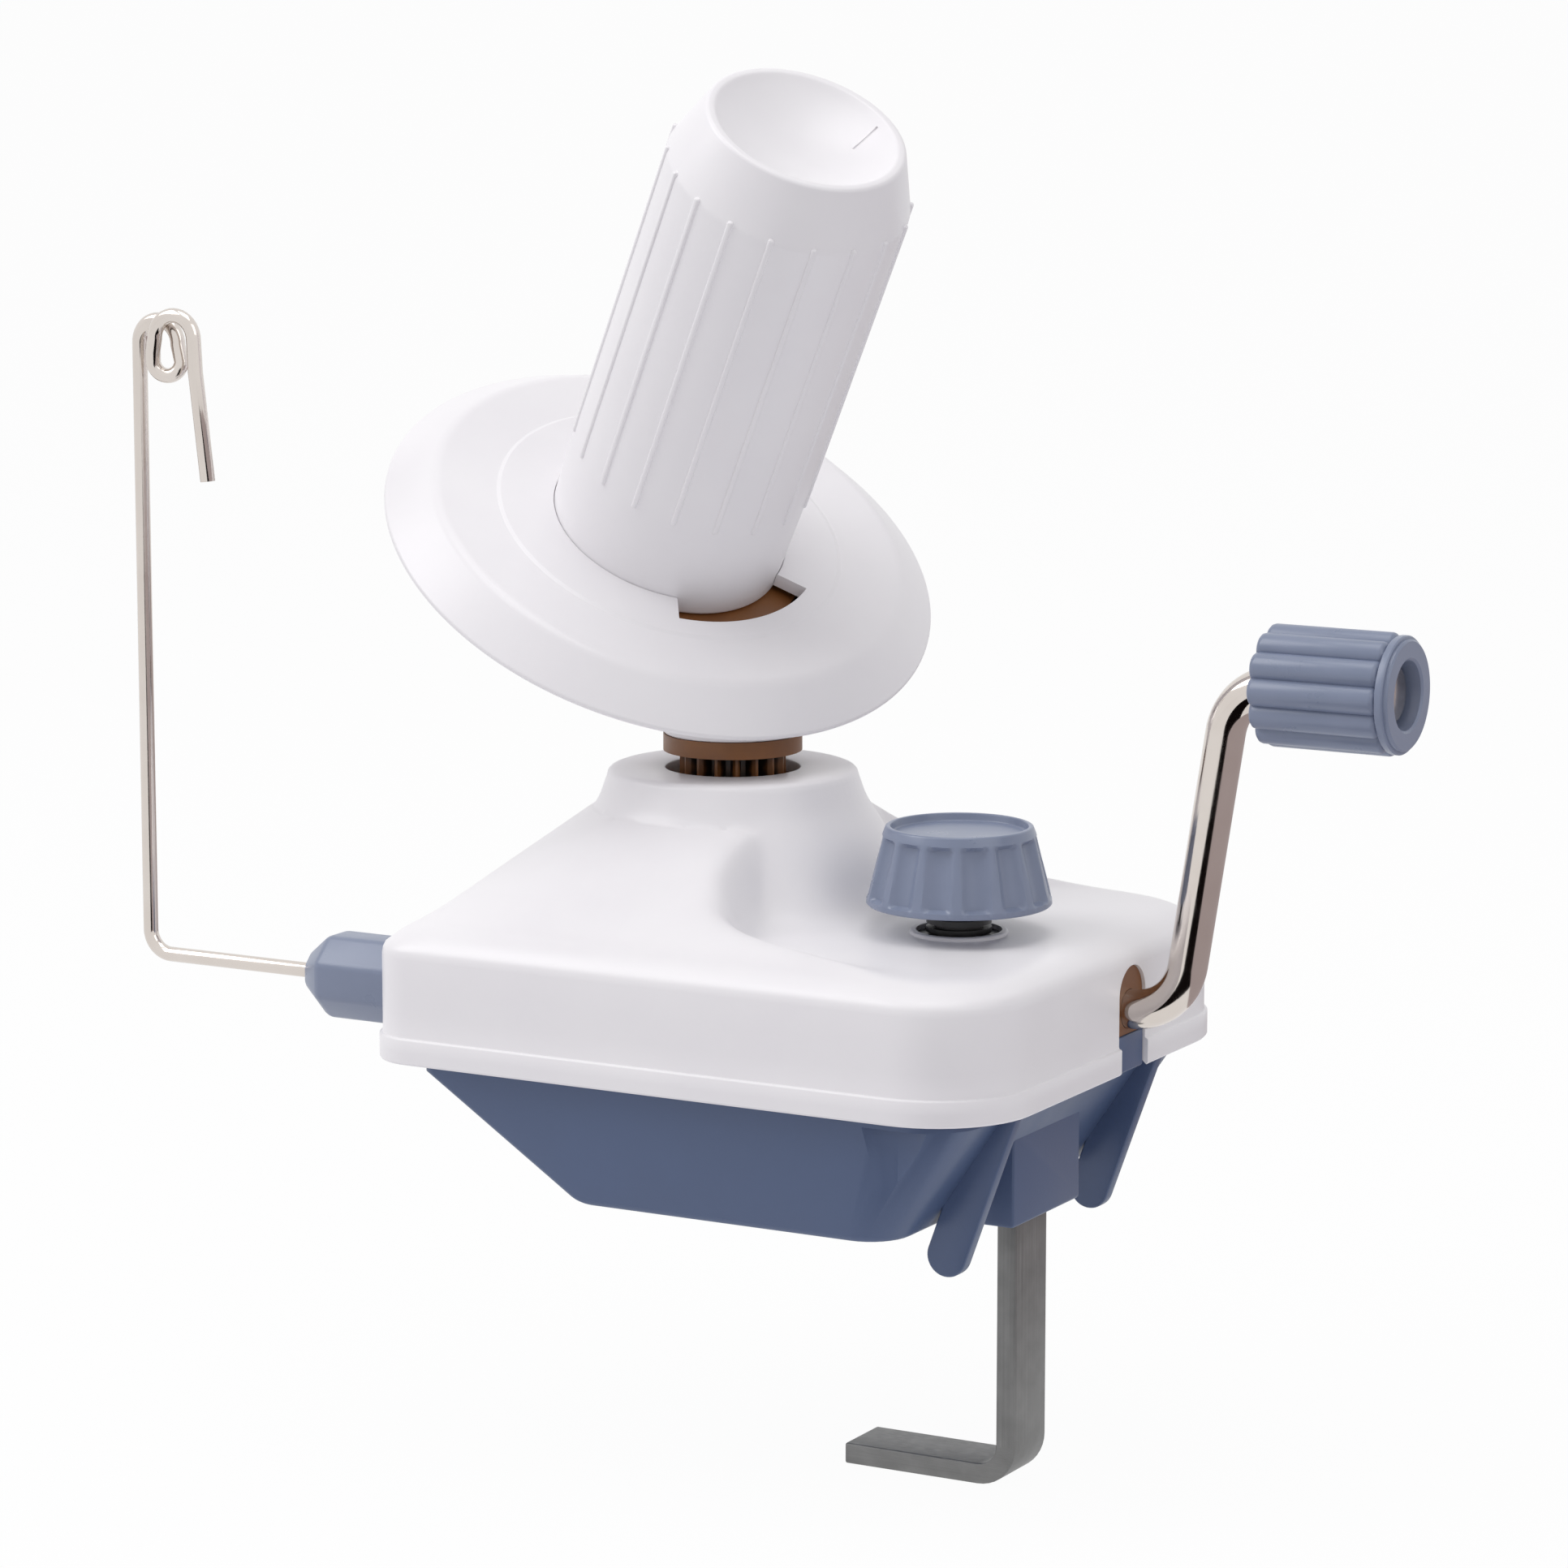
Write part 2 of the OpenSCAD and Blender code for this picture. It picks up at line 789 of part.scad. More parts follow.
module winding_disc()
{
    color(white)
    difference()
    {
        union()
        {
            tilted()
            {
                rotate_extrude()
                    polygon([[disc_hole_r, 8.4], [37, 8.4], [37.4, 8], [disc_r - 11.5, 8], [disc_r - 9, 7.4],
                        [disc_r - 6.8, 6.2], [disc_r - 0.8, 1.2], [disc_r, 0], [disc_r - 2.4, 0],
                        [disc_r - 8.5, 4.4], [disc_r - 10.5, 5.3], [disc_r - 12, 5.5], [disc_hole_r, 5.5]]);
                difference()
                {
                    translate([0, 0, cup_floor_z - 3])
                        cylinder(h = 8.6 - cup_floor_z, r = cup_r + 2.4);
                    translate([0, 0, cup_floor_z])
                        cylinder(h = 30, r = cup_r);
                }
                translate([0, 0, cup_floor_z - 5])
                    cylinder(h = 5, r = 7);
            }
            difference()
            {
                union()
                {
                    translate([0, 0, flange_top_z])
                        cylinder(h = seat_height, r = flange_r - 0.2);
                    tilted()
                        translate([0, -6, cup_floor_z - 8])
                            cube([cup_r, 12, 6]);
                }
                translate([-60, -60, flange_top_z - 40])
                    cube([120, 120, 40]);
                tilted()
                    translate([0, 0, cup_floor_z])
                        cylinder(h = 30, r = cup_r);
            }
        }
        tilted()
        {
            translate([0, 0, cup_floor_z - 6])
                cylinder(h = 8, r = shaft_r + set_fit);
            rotate([0, 0, -22])
                rotate_extrude(angle = 64)
                    translate([disc_hole_r - 1, 5])
                        square([32 - disc_hole_r, 5]);
        }
        translate([0, 0, flange_top_z + seat_height + 0.1])
            cylinder(h = 2 * bevel_half * cos(bevel_cone) + 1.35, r = bevel_low_r + 0.5);
        translate([0, 0, flange_top_z - 1])
            cylinder(h = seat_height + 6, r = shaft_r + pass_gap);
        flange_screw_spots()
            translate([0, 0, flange_z])
                cylinder(h = 9, r = 0.9 + set_fit);
    }
}

module disc_screws()
{
    color(grey_steel)
    flange_screw_spots()
        translate([0, 0, flange_z + 0.1])
        {
            cylinder(h = 1.2, r = 1.6);
            cylinder(h = 8, r = 0.9);
        }
}

module spindle_axle()
{
    color(steel)
    tilted()
        difference()
        {
            translate([0, 0, cup_floor_z - 5])
                cylinder(h = bush_z + 12 - cup_floor_z + 5, r = shaft_r);
            translate([0, 0, bush_z + 7])
                difference()
                {
                    cylinder(h = 1.4, r = shaft_r + 1);
                    translate([0, 0, -1])
                        cylinder(h = 4, r = shaft_r - 0.5);
                }
        }
}

module axle_clip()
{
    color(grey_steel)
    tilted()
        translate([0, 0, bush_z + 7.1])
            difference()
            {
                cylinder(h = 1.2, r = shaft_r + 2);
                translate([0, 0, -1])
                    cylinder(h = 4, r = shaft_r - 0.5 + set_fit);
            }
}

module drive_shaft()
{
    color(steel)
    translate([0, 0, 5.3])
        cylinder(h = cross_z - (bevel_mid - bevel_half) * cos(bevel_cone) - 5.3, r = shaft_r);
}

module drive_pinion()
{
    color(brown)
    difference()
    {
        union()
        {
            translate([0, 0, crank_z + drive_ring_r - 8.5])
                cylinder(h = 11.8, r = drive_r - 2);
            spur_teeth(drive_teeth, drive_r, crank_z + drive_ring_r - 3, crank_z + drive_ring_r + 3.3);
        }
        translate([0, 0, crank_z])
            cylinder(h = 40, r = shaft_r + set_fit);
    }
}

module thrust_washer()
{
    color(steel)
    translate([0, 0, crank_z + drive_ring_r + 3.35])
        difference()
        {
            cylinder(h = 0.8, r = drive_r - 1);
            translate([0, 0, -1])
                cylinder(h = 3, r = shaft_r + set_fit);
        }
}

// straight tooth lying along the side of a cone whose tip is at the origin
module cone_tooth(cone, base, tip)
{
    rotate([0, -cone, 0])
        translate([0, 0, -bevel_mid - bevel_half])
            linear_extrude(2 * bevel_half)
                polygon([[-bevel_ded - 0.4, -base], [bevel_add, -tip], [bevel_add, tip],
                    [-bevel_ded - 0.4, base]]);
}

module drive_bevel()
{
    low = (bevel_mid + bevel_half) * cos(bevel_cone);
    high = (bevel_mid - bevel_half) * cos(bevel_cone);
    color(brown)
    translate([0, 0, cross_z])
        difference()
        {
            union()
            {
                translate([0, 0, -low])
                    cylinder(h = low - high, r1 = low * tan(bevel_cone) - bevel_ded,
                        r2 = high * tan(bevel_cone) - bevel_ded);
                for (i = [0 : bevel_teeth - 1])
                    rotate([0, 0, tilt_dir + 180 + i * 360 / bevel_teeth])
                        cone_tooth(bevel_cone, 1.35, 0.5);
            }
            translate([0, 0, -low - 5])
                cylinder(h = 20, r = shaft_r + set_fit);
        }
}

module spindle_shell()
{
    color(white)
    tilted()
        difference()
        {
            union()
            {
                rotate_extrude()
                    polygon([[shell_in_r, shell_foot_z], [shell_r, shell_foot_z], [shell_r, 10], [spindle_r, 30],
                        [spindle_r, spindle_top - 13], [spindle_r - 0.4, spindle_top - 11.4],
                        [spindle_r - 4, spindle_top - 1.4], [spindle_r - 5, spindle_top],
                        [spindle_r - 7.2, spindle_top], [spindle_r - 15, spindle_top - 5.4], [0, spindle_top - 6],
                        [0, spindle_top - 9], [shell_in_r - 5, spindle_top - 9], [shell_in_r - 1, spindle_top - 14],
                        [shell_in_r, bush_z + 4], [8.5, bush_z + 4], [8.5, bush_z + 6], [6 + set_fit, bush_z + 6],
                        [6 + set_fit, bush_z], [8.5, bush_z], [8.5, bush_z + 1], [shell_in_r, bush_z + 1]]);
                for (i = [0 : spindle_ribs - 1])
                    rotate([0, 0, 4.7 + i * 360 / spindle_ribs])
                        translate([spindle_r - 1, -0.45, 26])
                            cube([1.5, 0.9, spindle_top - 37.5]);
            }
            translate([-1.4, 17.4, spindle_top - 6])
                rotate([0, 0, -64])
                    cube([7.2, 0.6, 8]);
        }
}

module spindle_gear()
{
    color(brown)
    tilted()
        difference()
        {
            union()
            {
                translate([0, 0, gear_low_z])
                    cylinder(h = gear_top_z - gear_low_z, r1 = gear_low_r - bevel_ded, r2 = gear_top_r - bevel_ded);
                translate([0, 0, gear_top_z - 1])
                    cylinder(h = shell_foot_z - 1 - gear_top_z, r = shell_r - 0.2);
                translate([0, 0, shell_foot_z - 2.6])
                    cylinder(h = 2.5, r = shell_r + 5);
                translate([0, 0, shell_foot_z - 1])
                    cylinder(h = 9, r = shell_in_r - set_fit);
                translate([0, 0, cross_below])
                    for (i = [0 : spindle_teeth - 1])
                        rotate([0, 0, (i + 0.5) * 360 / spindle_teeth])
                            cone_tooth(spindle_cone, 1.35, 0.5);
            }
            translate([0, 0, gear_low_z - 5])
                cylinder(h = 40, r = shaft_r + run_fit);
            translate([0, 0, shell_foot_z - 5])
                difference()
                {
                    cylinder(h = 20, r = shell_in_r - 3);
                    translate([0, 0, -1])
                        cylinder(h = 22, r = 7);
                }
        }
}

module spindle_bush()
{
    color(brown)
    tilted()
        translate([0, 0, bush_z])
            difference()
            {
                cylinder(h = 6, r = 6);
                translate([0, 0, -1])
                    cylinder(h = 8, r = shaft_r + run_fit);
            }
}

module clamp_knob()
{
    low_r = 18.7;
    top_r = 14.8;
    color(light_blue)
    translate([clamp_x, clamp_y, knob_z])
        difference()
        {
            rotate_extrude()
                polygon([[screw_r + set_fit, 2], [9, 2], [9, 0], [16.2, 0], [low_r, 0], [low_r, 1.2],
                    [top_r + 0.6, knob_h - 1.4], [top_r, knob_h], [top_r - 0.9, knob_h],
                    [top_r - 1.3, knob_h - 1.6], [screw_r + set_fit, knob_h - 1.6]]);
            for (i = [0 : 13])
                rotate([0, 0, i * 360 / 14])
                    translate([low_r + 4.5, 0, 2.2])
                        rotate([0, -14, 0])
                            cylinder(h = 30, r = 5.5);
        }
}

module clamp_screw()
{
    color(black)
    translate([clamp_x, clamp_y, 0])
        difference()
        {
            union()
            {
                translate([0, 0, arm_rest_z - 6])
                    cylinder(h = knob_z + knob_h - 2 - arm_rest_z + 6, r = screw_r);
                for (i = [0 : 2])
                    translate([0, 0, shelf_z + 0.4 + i * 1.9])
                        cylinder(h = 1.1, r = screw_r + 1.6);
            }
            translate([0, 0, shelf_z - wall - 3.2])
                difference()
                {
                    cylinder(h = 1.4, r = screw_r + 1);
                    translate([0, 0, -1])
                        cylinder(h = 4, r = screw_r - 0.6);
                }
        }
}

module screw_clip()
{
    color(grey_steel)
    translate([clamp_x, clamp_y, shelf_z - wall - 3.1])
        difference()
        {
            cylinder(h = 1.2, r = screw_r + 2);
            translate([0, 0, -1])
                cylinder(h = 4, r = screw_r - 0.6 + set_fit);
        }
}

module clamp_bracket()
{
    inner = bar_bend - bar_thick;
    bar_x1 = bar_x0 + bar_thick;
    top = arm_rest_z + bar_thick;
    low = -clamp_gap - bar_thick;
    color(grey_steel)
    translate([0, clamp_y - bar_width / 2, 0])
        difference()
        {
            union()
            {
                translate([bar_x0, 0, low + bar_bend])
                    cube([bar_thick, bar_width, top - low - 2 * bar_bend]);
                translate([foot_x0, 0, low])
                    cube([bar_x1 - bar_bend - foot_x0, bar_width, bar_thick]);
                translate([clamp_x - 9, 0, arm_rest_z])
                    cube([bar_x1 - bar_bend - clamp_x + 9, bar_width, bar_thick]);
                translate([bar_x1 - bar_bend, bar_width, low + bar_bend])
                    rotate([90, 0, 0])
                        rotate([0, 0, -90])
                            rotate_extrude(angle = 90)
                                translate([inner, 0])
                                    square([bar_thick, bar_width]);
                translate([bar_x1 - bar_bend, bar_width, top - bar_bend])
                    rotate([90, 0, 0])
                        rotate_extrude(angle = 90)
                            translate([inner, 0])
                                square([bar_thick, bar_width]);
            }
            translate([clamp_x, bar_width / 2, arm_rest_z - 1])
                cylinder(h = bar_thick + 2, r = screw_r + 0.4);
        }
}

module clamp_nut()
{
    color(grey_steel)
    translate([clamp_x, clamp_y, arm_rest_z - 5])
        difference()
        {
            cylinder(h = 5, r = 8, $fn = 6);
            translate([0, 0, -1])
                cylinder(h = 7, r = screw_r + run_fit);
        }
}

// points of an arc in the upright plane of the guide, drifting sideways from y0 to y1
function arc(cx, cz, r, a0, a1, y0, y1, steps) = [for (i = [0 : steps])
    [cx + r * cos(a0 + (a1 - a0) * i / steps), y0 + (y1 - y0) * i / steps,
     cz + r * sin(a0 + (a1 - a0) * i / steps)]];

function unit(v) = v / norm(v);

function along(path, i) = unit(path[min(i + 1, len(path) - 1)] - path[max(i - 1, 0)]);

// round wire along a path that never runs sideways
module tube(path, r, sides)
{
    rings = [for (i = [0 : len(path) - 1])
        let (t = along(path, i), b = unit(cross(t, [0, 1, 0])), s = cross(b, t))
            for (k = [0 : sides - 1])
                path[i] + r * (cos(360 * k / sides) * b + sin(360 * k / sides) * s)];
    last = len(path) - 1;
    walls = [for (i = [0 : last - 1])
        for (k = [0 : sides - 1])
            [i * sides + k, i * sides + (k + 1) % sides, (i + 1) * sides + (k + 1) % sides, (i + 1) * sides + k]];
    ends = [[for (k = [sides - 1 : -1 : 0]) k], [for (k = [0 : sides - 1]) last * sides + k]];
    polyhedron(points = rings, faces = concat(walls, ends), convexity = 8);
}

module guide_wire()
{
    bend = 5;
    z = guide_height;
    path = concat([[0, 0, z - 16], [0, 0, z - 4]], arc(5, z, 5, 180, 0, 0, -0.6, 14),
        arc(8.3, z - 3.5, 2.75, 0, -180, -0.9, -3.1, 16), [[5.9, -3.6, z - 1]],
        arc(11.5, z + 1.6, 4.85, 180, 0, -4, -4.1, 14), [[16.7, -4.1, z - 5], [19.3, -4.1, z - 27.3]]);
    color(steel)
    translate([guide_x, guide_y, guide_z])
    {
        translate([bend, 0, 0])
            rotate([0, 90, 0])
                cylinder(h = guide_reach - bend - 11.5, r = wire_r);
        translate([bend, 0, bend])
            rotate([90, 0, 0])
                rotate([0, 0, 180])
                    rotate_extrude(angle = 90)
                        translate([bend, 0])
                            circle(r = wire_r);
        translate([0, 0, bend])
            cylinder(h = z - 15 - bend, r = wire_r);
        tube(path, wire_r, 14);
    }
}

top_housing();
bottom_tray();
housing_screws();
neck_bush();
shaft_bush();
crank_bush();
shaft_saddle();
screw_bush();
guide_holder();
holder_screw();
crank_rod();
crown_gear();
gear_pin();
shaft_collar();
grip_cap();
crank_grip();
winding_pinion();
winding_disc();
disc_screws();
spindle_axle();
axle_clip();
drive_shaft();
drive_pinion();
thrust_washer();
drive_bevel();
spindle_shell();
spindle_gear();
spindle_bush();
clamp_knob();
clamp_screw();
screw_clip();
clamp_bracket();
clamp_nut();
guide_wire();
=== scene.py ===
"""Looks of a hand-cranked yarn ball winder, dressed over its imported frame.

Sizes are in millimetres, in the frame of the CAD model, and MM turns them to metres.
"""
import json
import math

import bmesh
import bpy
from mathutils import Matrix, Vector


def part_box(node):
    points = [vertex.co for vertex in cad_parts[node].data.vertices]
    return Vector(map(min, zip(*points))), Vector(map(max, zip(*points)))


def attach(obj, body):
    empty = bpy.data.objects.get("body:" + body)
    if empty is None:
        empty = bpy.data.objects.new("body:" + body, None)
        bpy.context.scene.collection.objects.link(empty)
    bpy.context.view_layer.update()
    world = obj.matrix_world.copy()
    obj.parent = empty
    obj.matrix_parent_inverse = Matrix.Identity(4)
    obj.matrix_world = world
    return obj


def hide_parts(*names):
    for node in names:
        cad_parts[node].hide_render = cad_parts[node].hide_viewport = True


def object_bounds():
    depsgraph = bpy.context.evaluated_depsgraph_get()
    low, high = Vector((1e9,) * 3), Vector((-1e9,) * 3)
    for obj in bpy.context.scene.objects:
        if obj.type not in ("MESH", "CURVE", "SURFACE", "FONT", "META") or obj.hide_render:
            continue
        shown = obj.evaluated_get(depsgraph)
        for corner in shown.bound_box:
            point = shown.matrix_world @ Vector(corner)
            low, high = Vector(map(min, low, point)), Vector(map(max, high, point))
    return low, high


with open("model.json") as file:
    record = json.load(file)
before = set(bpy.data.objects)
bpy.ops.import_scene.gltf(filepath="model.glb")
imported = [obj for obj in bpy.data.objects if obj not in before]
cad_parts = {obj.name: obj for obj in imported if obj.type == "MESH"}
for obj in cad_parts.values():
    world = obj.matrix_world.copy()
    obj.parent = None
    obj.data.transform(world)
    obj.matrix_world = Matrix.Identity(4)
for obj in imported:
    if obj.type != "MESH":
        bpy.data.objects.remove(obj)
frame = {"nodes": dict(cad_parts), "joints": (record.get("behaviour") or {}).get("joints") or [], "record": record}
cad_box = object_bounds()

MM = 0.001
JOINTS = {joint["name"]: joint for joint in frame["joints"]}


def box_mm(node):
    """Lowest and highest corner of a CAD node, in millimetres."""
    low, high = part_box(node)
    return low / MM, high / MM


# Places read from the frame
HOUSE_LOW, HOUSE_HIGH = box_mm("top_housing")
BAR_LOW, BAR_HIGH = box_mm("clamp_bracket")
GRIP_LOW, GRIP_HIGH = box_mm("crank_grip")
KNOB_LOW, KNOB_HIGH = box_mm("clamp_knob")
WIRE_LOW, WIRE_HIGH = box_mm("guide_wire")
HOLDER_LOW, HOLDER_HIGH = box_mm("guide_holder")
CRANK_LOW, CRANK_HIGH = box_mm("crank_rod")
CRANK_Z = JOINTS["crank_turn"]["pos_m"][2] / MM
GRIP_Z = JOINTS["grip_turn"]["pos_m"][2] / MM
GUIDE_Y, GUIDE_Z = (c / MM for c in JOINTS["guide_swing"]["pos_m"][1:])
SCREW_X, SCREW_Y = (c / MM for c in JOINTS["knob_turn"]["pos_m"][:2])

# Housing
LIP_PROUD = 0.7
LIP_TOP = 31.3
HOUSE_X0, HOUSE_X1 = HOUSE_LOW.x + LIP_PROUD, HOUSE_HIGH.x - LIP_PROUD
HOUSE_Y0, HOUSE_Y1 = HOUSE_LOW.y + LIP_PROUD, HOUSE_HIGH.y - LIP_PROUD
RIM_Z, NECK_Z = HOUSE_LOW.z, HOUSE_HIGH.z
CORNER_GUIDE, CORNER_END = 10, 20
SHOULDER_Z, SHELF_Z = 49.5, 53
NECK_R, NECK_HOLE_R = 25, 13.9
WALL = 2.5
SCREW_HOLE_R, SCREW_RING_R = 8.7, 9.9
NOTCH_HALF, NOTCH_ARCH_Z = 6, CRANK_Z + 3

# Crank, wire and clamp stock
ROD_R = 4
ROD_BEND = 12
ARM_ANGLE = 81
WIRE_R = 1.55
WIRE_BEND = 5
BAR_THICK, BAR_WIDTH, BAR_BEND = 4.3, 14, 8.5

# Frame of the tilted head: origin in the rim plane of the disc, axis up the spindle
CROSSING_ABOVE_RIM = 55.9
SPINDLE_AXIS = Vector(JOINTS["spindle_turn"]["axis"]).normalized()
TILTED = (Matrix.Translation(JOINTS["spindle_turn"]["pos_m"])
          @ Matrix.Rotation(math.atan2(SPINDLE_AXIS.y, SPINDLE_AXIS.x), 4, "Z")
          @ Matrix.Rotation(math.acos(SPINDLE_AXIS.z), 4, "Y")
          @ Matrix.Translation((0, 0, -CROSSING_ABOVE_RIM * MM)))


# Modelling by hand

def drop_selection():
    """Leaves edit mode and deselects everything."""
    if bpy.context.mode != "OBJECT":
        bpy.ops.object.mode_set(mode="OBJECT")
    bpy.ops.object.select_all(action="DESELECT")


def hold(piece):
    """Selects one piece alone, as the active object."""
    drop_selection()
    piece.select_set(True)
    bpy.context.view_layer.objects.active = piece


def edit(piece, kind="VERT"):
    """Opens a piece in edit mode with everything selected."""
    hold(piece)
    bpy.ops.object.mode_set(mode="EDIT")
    bpy.ops.mesh.select_mode(type=kind)
    bpy.ops.mesh.select_all(action="SELECT")


def pick(piece, kind, test):
    """Selects, in edit mode, only the vertices, edges or faces that pass a test."""
    bpy.ops.mesh.select_mode(type={"verts": "VERT", "edges": "EDGE", "faces": "FACE"}[kind])
    bpy.ops.mesh.select_all(action="DESELECT")
    mesh = bmesh.from_edit_mesh(piece.data)
    for part in getattr(mesh, kind):
        part.select_set(test(part))
    mesh.select_flush_mode()
    bmesh.update_edit_mesh(piece.data)


def close_up(piece):
    """Merges doubled points and turns the faces outwards."""
    edit(piece)
    bpy.ops.mesh.remove_doubles(threshold=0.002 * MM)
    bpy.ops.mesh.normals_make_consistent(inside=False)
    drop_selection()
    return piece


def settle(piece, place):
    """Puts a piece in its place and keeps that place in its mesh."""
    hold(piece)
    piece.matrix_world = place
    bpy.ops.object.transform_apply(location=True, rotation=True, scale=True)
    return piece


def apply_modifier(piece, kind, **settings):
    """Adds a modifier and applies it."""
    hold(piece)
    modifier = piece.modifiers.new(kind.lower(), kind)
    for name, value in settings.items():
        setattr(modifier, name, value)
    bpy.ops.object.modifier_apply(modifier=modifier.name)
    return piece


def carve(piece, tool, operation="DIFFERENCE"):
    """Cuts a tool shape out of a piece, or joins it on, and throws the tool away."""
    apply_modifier(piece, "BOOLEAN", object=tool, operation=operation, solver="MANIFOLD")
    bpy.data.objects.remove(tool)
    return piece


def soften(piece, width, segments=3, angle=30):
    """Rounds the sharp edges of a piece."""
    return apply_modifier(piece, "BEVEL", width=width * MM, segments=segments, limit_method="ANGLE",
                          angle_limit=math.radians(angle), harden_normals=False)


def rounded(corners, steps=5, closed=True):
    """Outline through corners (r, z) or (r, z, radius), where a radius is drawn as an arc."""
    points = []
    for i, (r, z, *radius) in enumerate(corners):
        here = Vector((r, z))
        if not radius:
            points.append(here)
            continue
        before = (Vector(corners[i - 1][:2]) - here).normalized()
        after = (Vector(corners[(i + 1) % len(corners)][:2]) - here).normalized()
        half = before.angle(after) / 2
        centre = here + (before + after).normalized() * radius[0] / math.sin(half)
        reach = radius[0] / math.tan(half)
        start = (here + before * reach - centre).normalized()
        end = (here + after * reach - centre).normalized()
        points += [centre + start.slerp(end, k / steps) * radius[0] for k in range(steps + 1)]
    return points + points[:1] if closed else points


def turned(outline, steps=96, angle=360):
    """A round piece about Z: its half outline is drawn by extruding a point, and spun."""
    drop_selection()
    bpy.ops.mesh.primitive_plane_add(size=MM)
    piece = bpy.context.object
    edit(piece)
    bpy.ops.mesh.merge(type="CENTER")
    bpy.ops.transform.translate(value=Vector((outline[0][0], 0, outline[0][1])) * MM)
    for here, there in zip(outline, outline[1:]):
        step = Vector((there[0] - here[0], 0, there[1] - here[1])) * MM
        bpy.ops.mesh.extrude_vertices_move(TRANSFORM_OT_translate={"value": step})
    bpy.ops.mesh.select_all(action="SELECT")
    bpy.ops.mesh.spin(steps=steps, angle=math.radians(angle), center=(0, 0, 0), axis=(0, 0, 1))
    return close_up(piece)


def wrapped(rings):
    """A skin through closed rings of points: a grid laid round them, with its side edges joined."""
    around, along = len(rings[0]), len(rings) - 1
    drop_selection()
    bpy.ops.mesh.primitive_grid_add(x_subdivisions=around, y_subdivisions=along, size=2)
    piece = bpy.context.object
    for vertex in piece.data.vertices:
        column = round((vertex.co.x + 1) / 2 * around) % around
        row = round((vertex.co.y + 1) / 2 * along)
        vertex.co = Vector(rings[row][column]) * MM
    return close_up(piece)


def cap_ends(piece):
    """Closes the open ends of a skin with flat faces."""
    edit(piece, "EDGE")
    pick(piece, "edges", lambda edge: edge.is_boundary)
    bpy.ops.mesh.fill_holes(sides=0)
    return close_up(piece)


def block(low, high, round_by=0.0):
    """A block between two corners, its edges rounded."""
    drop_selection()
    middle = (Vector(low) + Vector(high)) / 2
    bpy.ops.mesh.primitive_cube_add(size=1, location=middle * MM)
    piece = bpy.context.object
    piece.scale = (Vector(high) - Vector(low)) * MM
    bpy.ops.object.transform_apply(location=True, rotation=True, scale=True)
    if round_by:
        edit(piece, "EDGE")
        bpy.ops.mesh.bevel(offset=round_by * MM, segments=3, affect="EDGES")
        drop_selection()
    return piece


def rod(start, end, radius, sides=64):
    """A straight round tool between two points."""
    start, end = Vector(start) * MM, Vector(end) * MM
    drop_selection()
    bpy.ops.mesh.primitive_cylinder_add(vertices=sides, radius=radius * MM, depth=(end - start).length)
    turn = (end - start).to_track_quat("Z", "Y").to_matrix().to_4x4()
    return settle(bpy.context.object, Matrix.Translation((start + end) / 2) @ turn)


def round_ended(half, thick, length):
    """A flat bar up Z, `thick` along X, with a round lower end about the origin."""
    turns = [math.radians(180 + 7.5 * k) for k in range(25)]
    outline = [(half * math.cos(a), half * math.sin(a)) for a in turns] + [(half, length), (-half, length)]
    return cap_ends(wrapped([[(x, y, z) for y, z in outline] for x in (-thick, 0)]))


def drawn_wire(path, radius, sides=10):
    """A round wire along a path."""
    drop_selection()
    bpy.ops.curve.primitive_nurbs_path_add()
    piece = bpy.context.object
    curve = piece.data
    curve.splines.clear()
    spline = curve.splines.new("POLY")
    spline.points.add(len(path) - 1)
    for point, place in zip(spline.points, path):
        point.co = (*(Vector(place) * MM), 1)
    curve.dimensions = "3D"
    curve.bevel_depth = radius * MM
    curve.bevel_resolution = sides
    curve.use_fill_caps = True
    hold(piece)
    bpy.ops.object.convert(target="MESH")
    return close_up(bpy.context.object)


def arc(centre, radius, start, end, steps, side=(0, 0)):
    """Points of an arc in an upright plane along X, drifting sideways between two values of Y."""
    points = []
    for k in range(steps + 1):
        share = k / steps
        angle = math.radians(start + (end - start) * share)
        drift = side[0] + (side[1] - side[0]) * share
        points.append((centre[0] + radius * math.cos(angle), drift, centre[1] + radius * math.sin(angle)))
    return points


def round_box(x0, x1, y0, y1, left_r, right_r, arc_steps=12, side_steps=(56, 44)):
    """Plan of a box with round corners, anticlockwise from the far right corner."""
    corners = [(x1 - right_r, y1 - right_r, right_r), (x0 + left_r, y1 - left_r, left_r),
               (x0 + left_r, y0 + left_r, left_r), (x1 - right_r, y0 + right_r, right_r)]
    arcs = []
    for i, (x, y, r) in enumerate(corners):
        angles = [math.radians(90 * (i + k / arc_steps)) for k in range(arc_steps + 1)]
        arcs.append([Vector((x + r * math.cos(a), y + r * math.sin(a))) for a in angles])
    points = []
    for i, bend in enumerate(arcs):
        following = arcs[(i + 1) % 4][0]
        steps = side_steps[i % 2]
        points += bend
        points += [bend[-1].lerp(following, k / steps) for k in range(1, steps)]
    return points


def at_height(outline, z):
    """A ring of points at one height."""
    return [(p.x, p.y, z) for p in outline]


def smooth_step(low, high, value):
    """0 below low, 1 above high, and an even rise between."""
    share = min(1.0, max(0.0, (value - low) / (high - low)))
    return share * share * (3 - 2 * share)


# Finishes

def linear(colour):
    """Linear colour of an sRGB hex value."""
    parts = [int(colour[i:i + 2], 16) / 255 for i in (0, 2, 4)]
    return [c / 12.92 if c <= 0.04045 else ((c + 0.055) / 1.055) ** 2.4 for c in parts] + [1.0]


def per_mm(size):
    """Texture scale whose cells are this many millimetres."""
    return 1 / (size * MM)


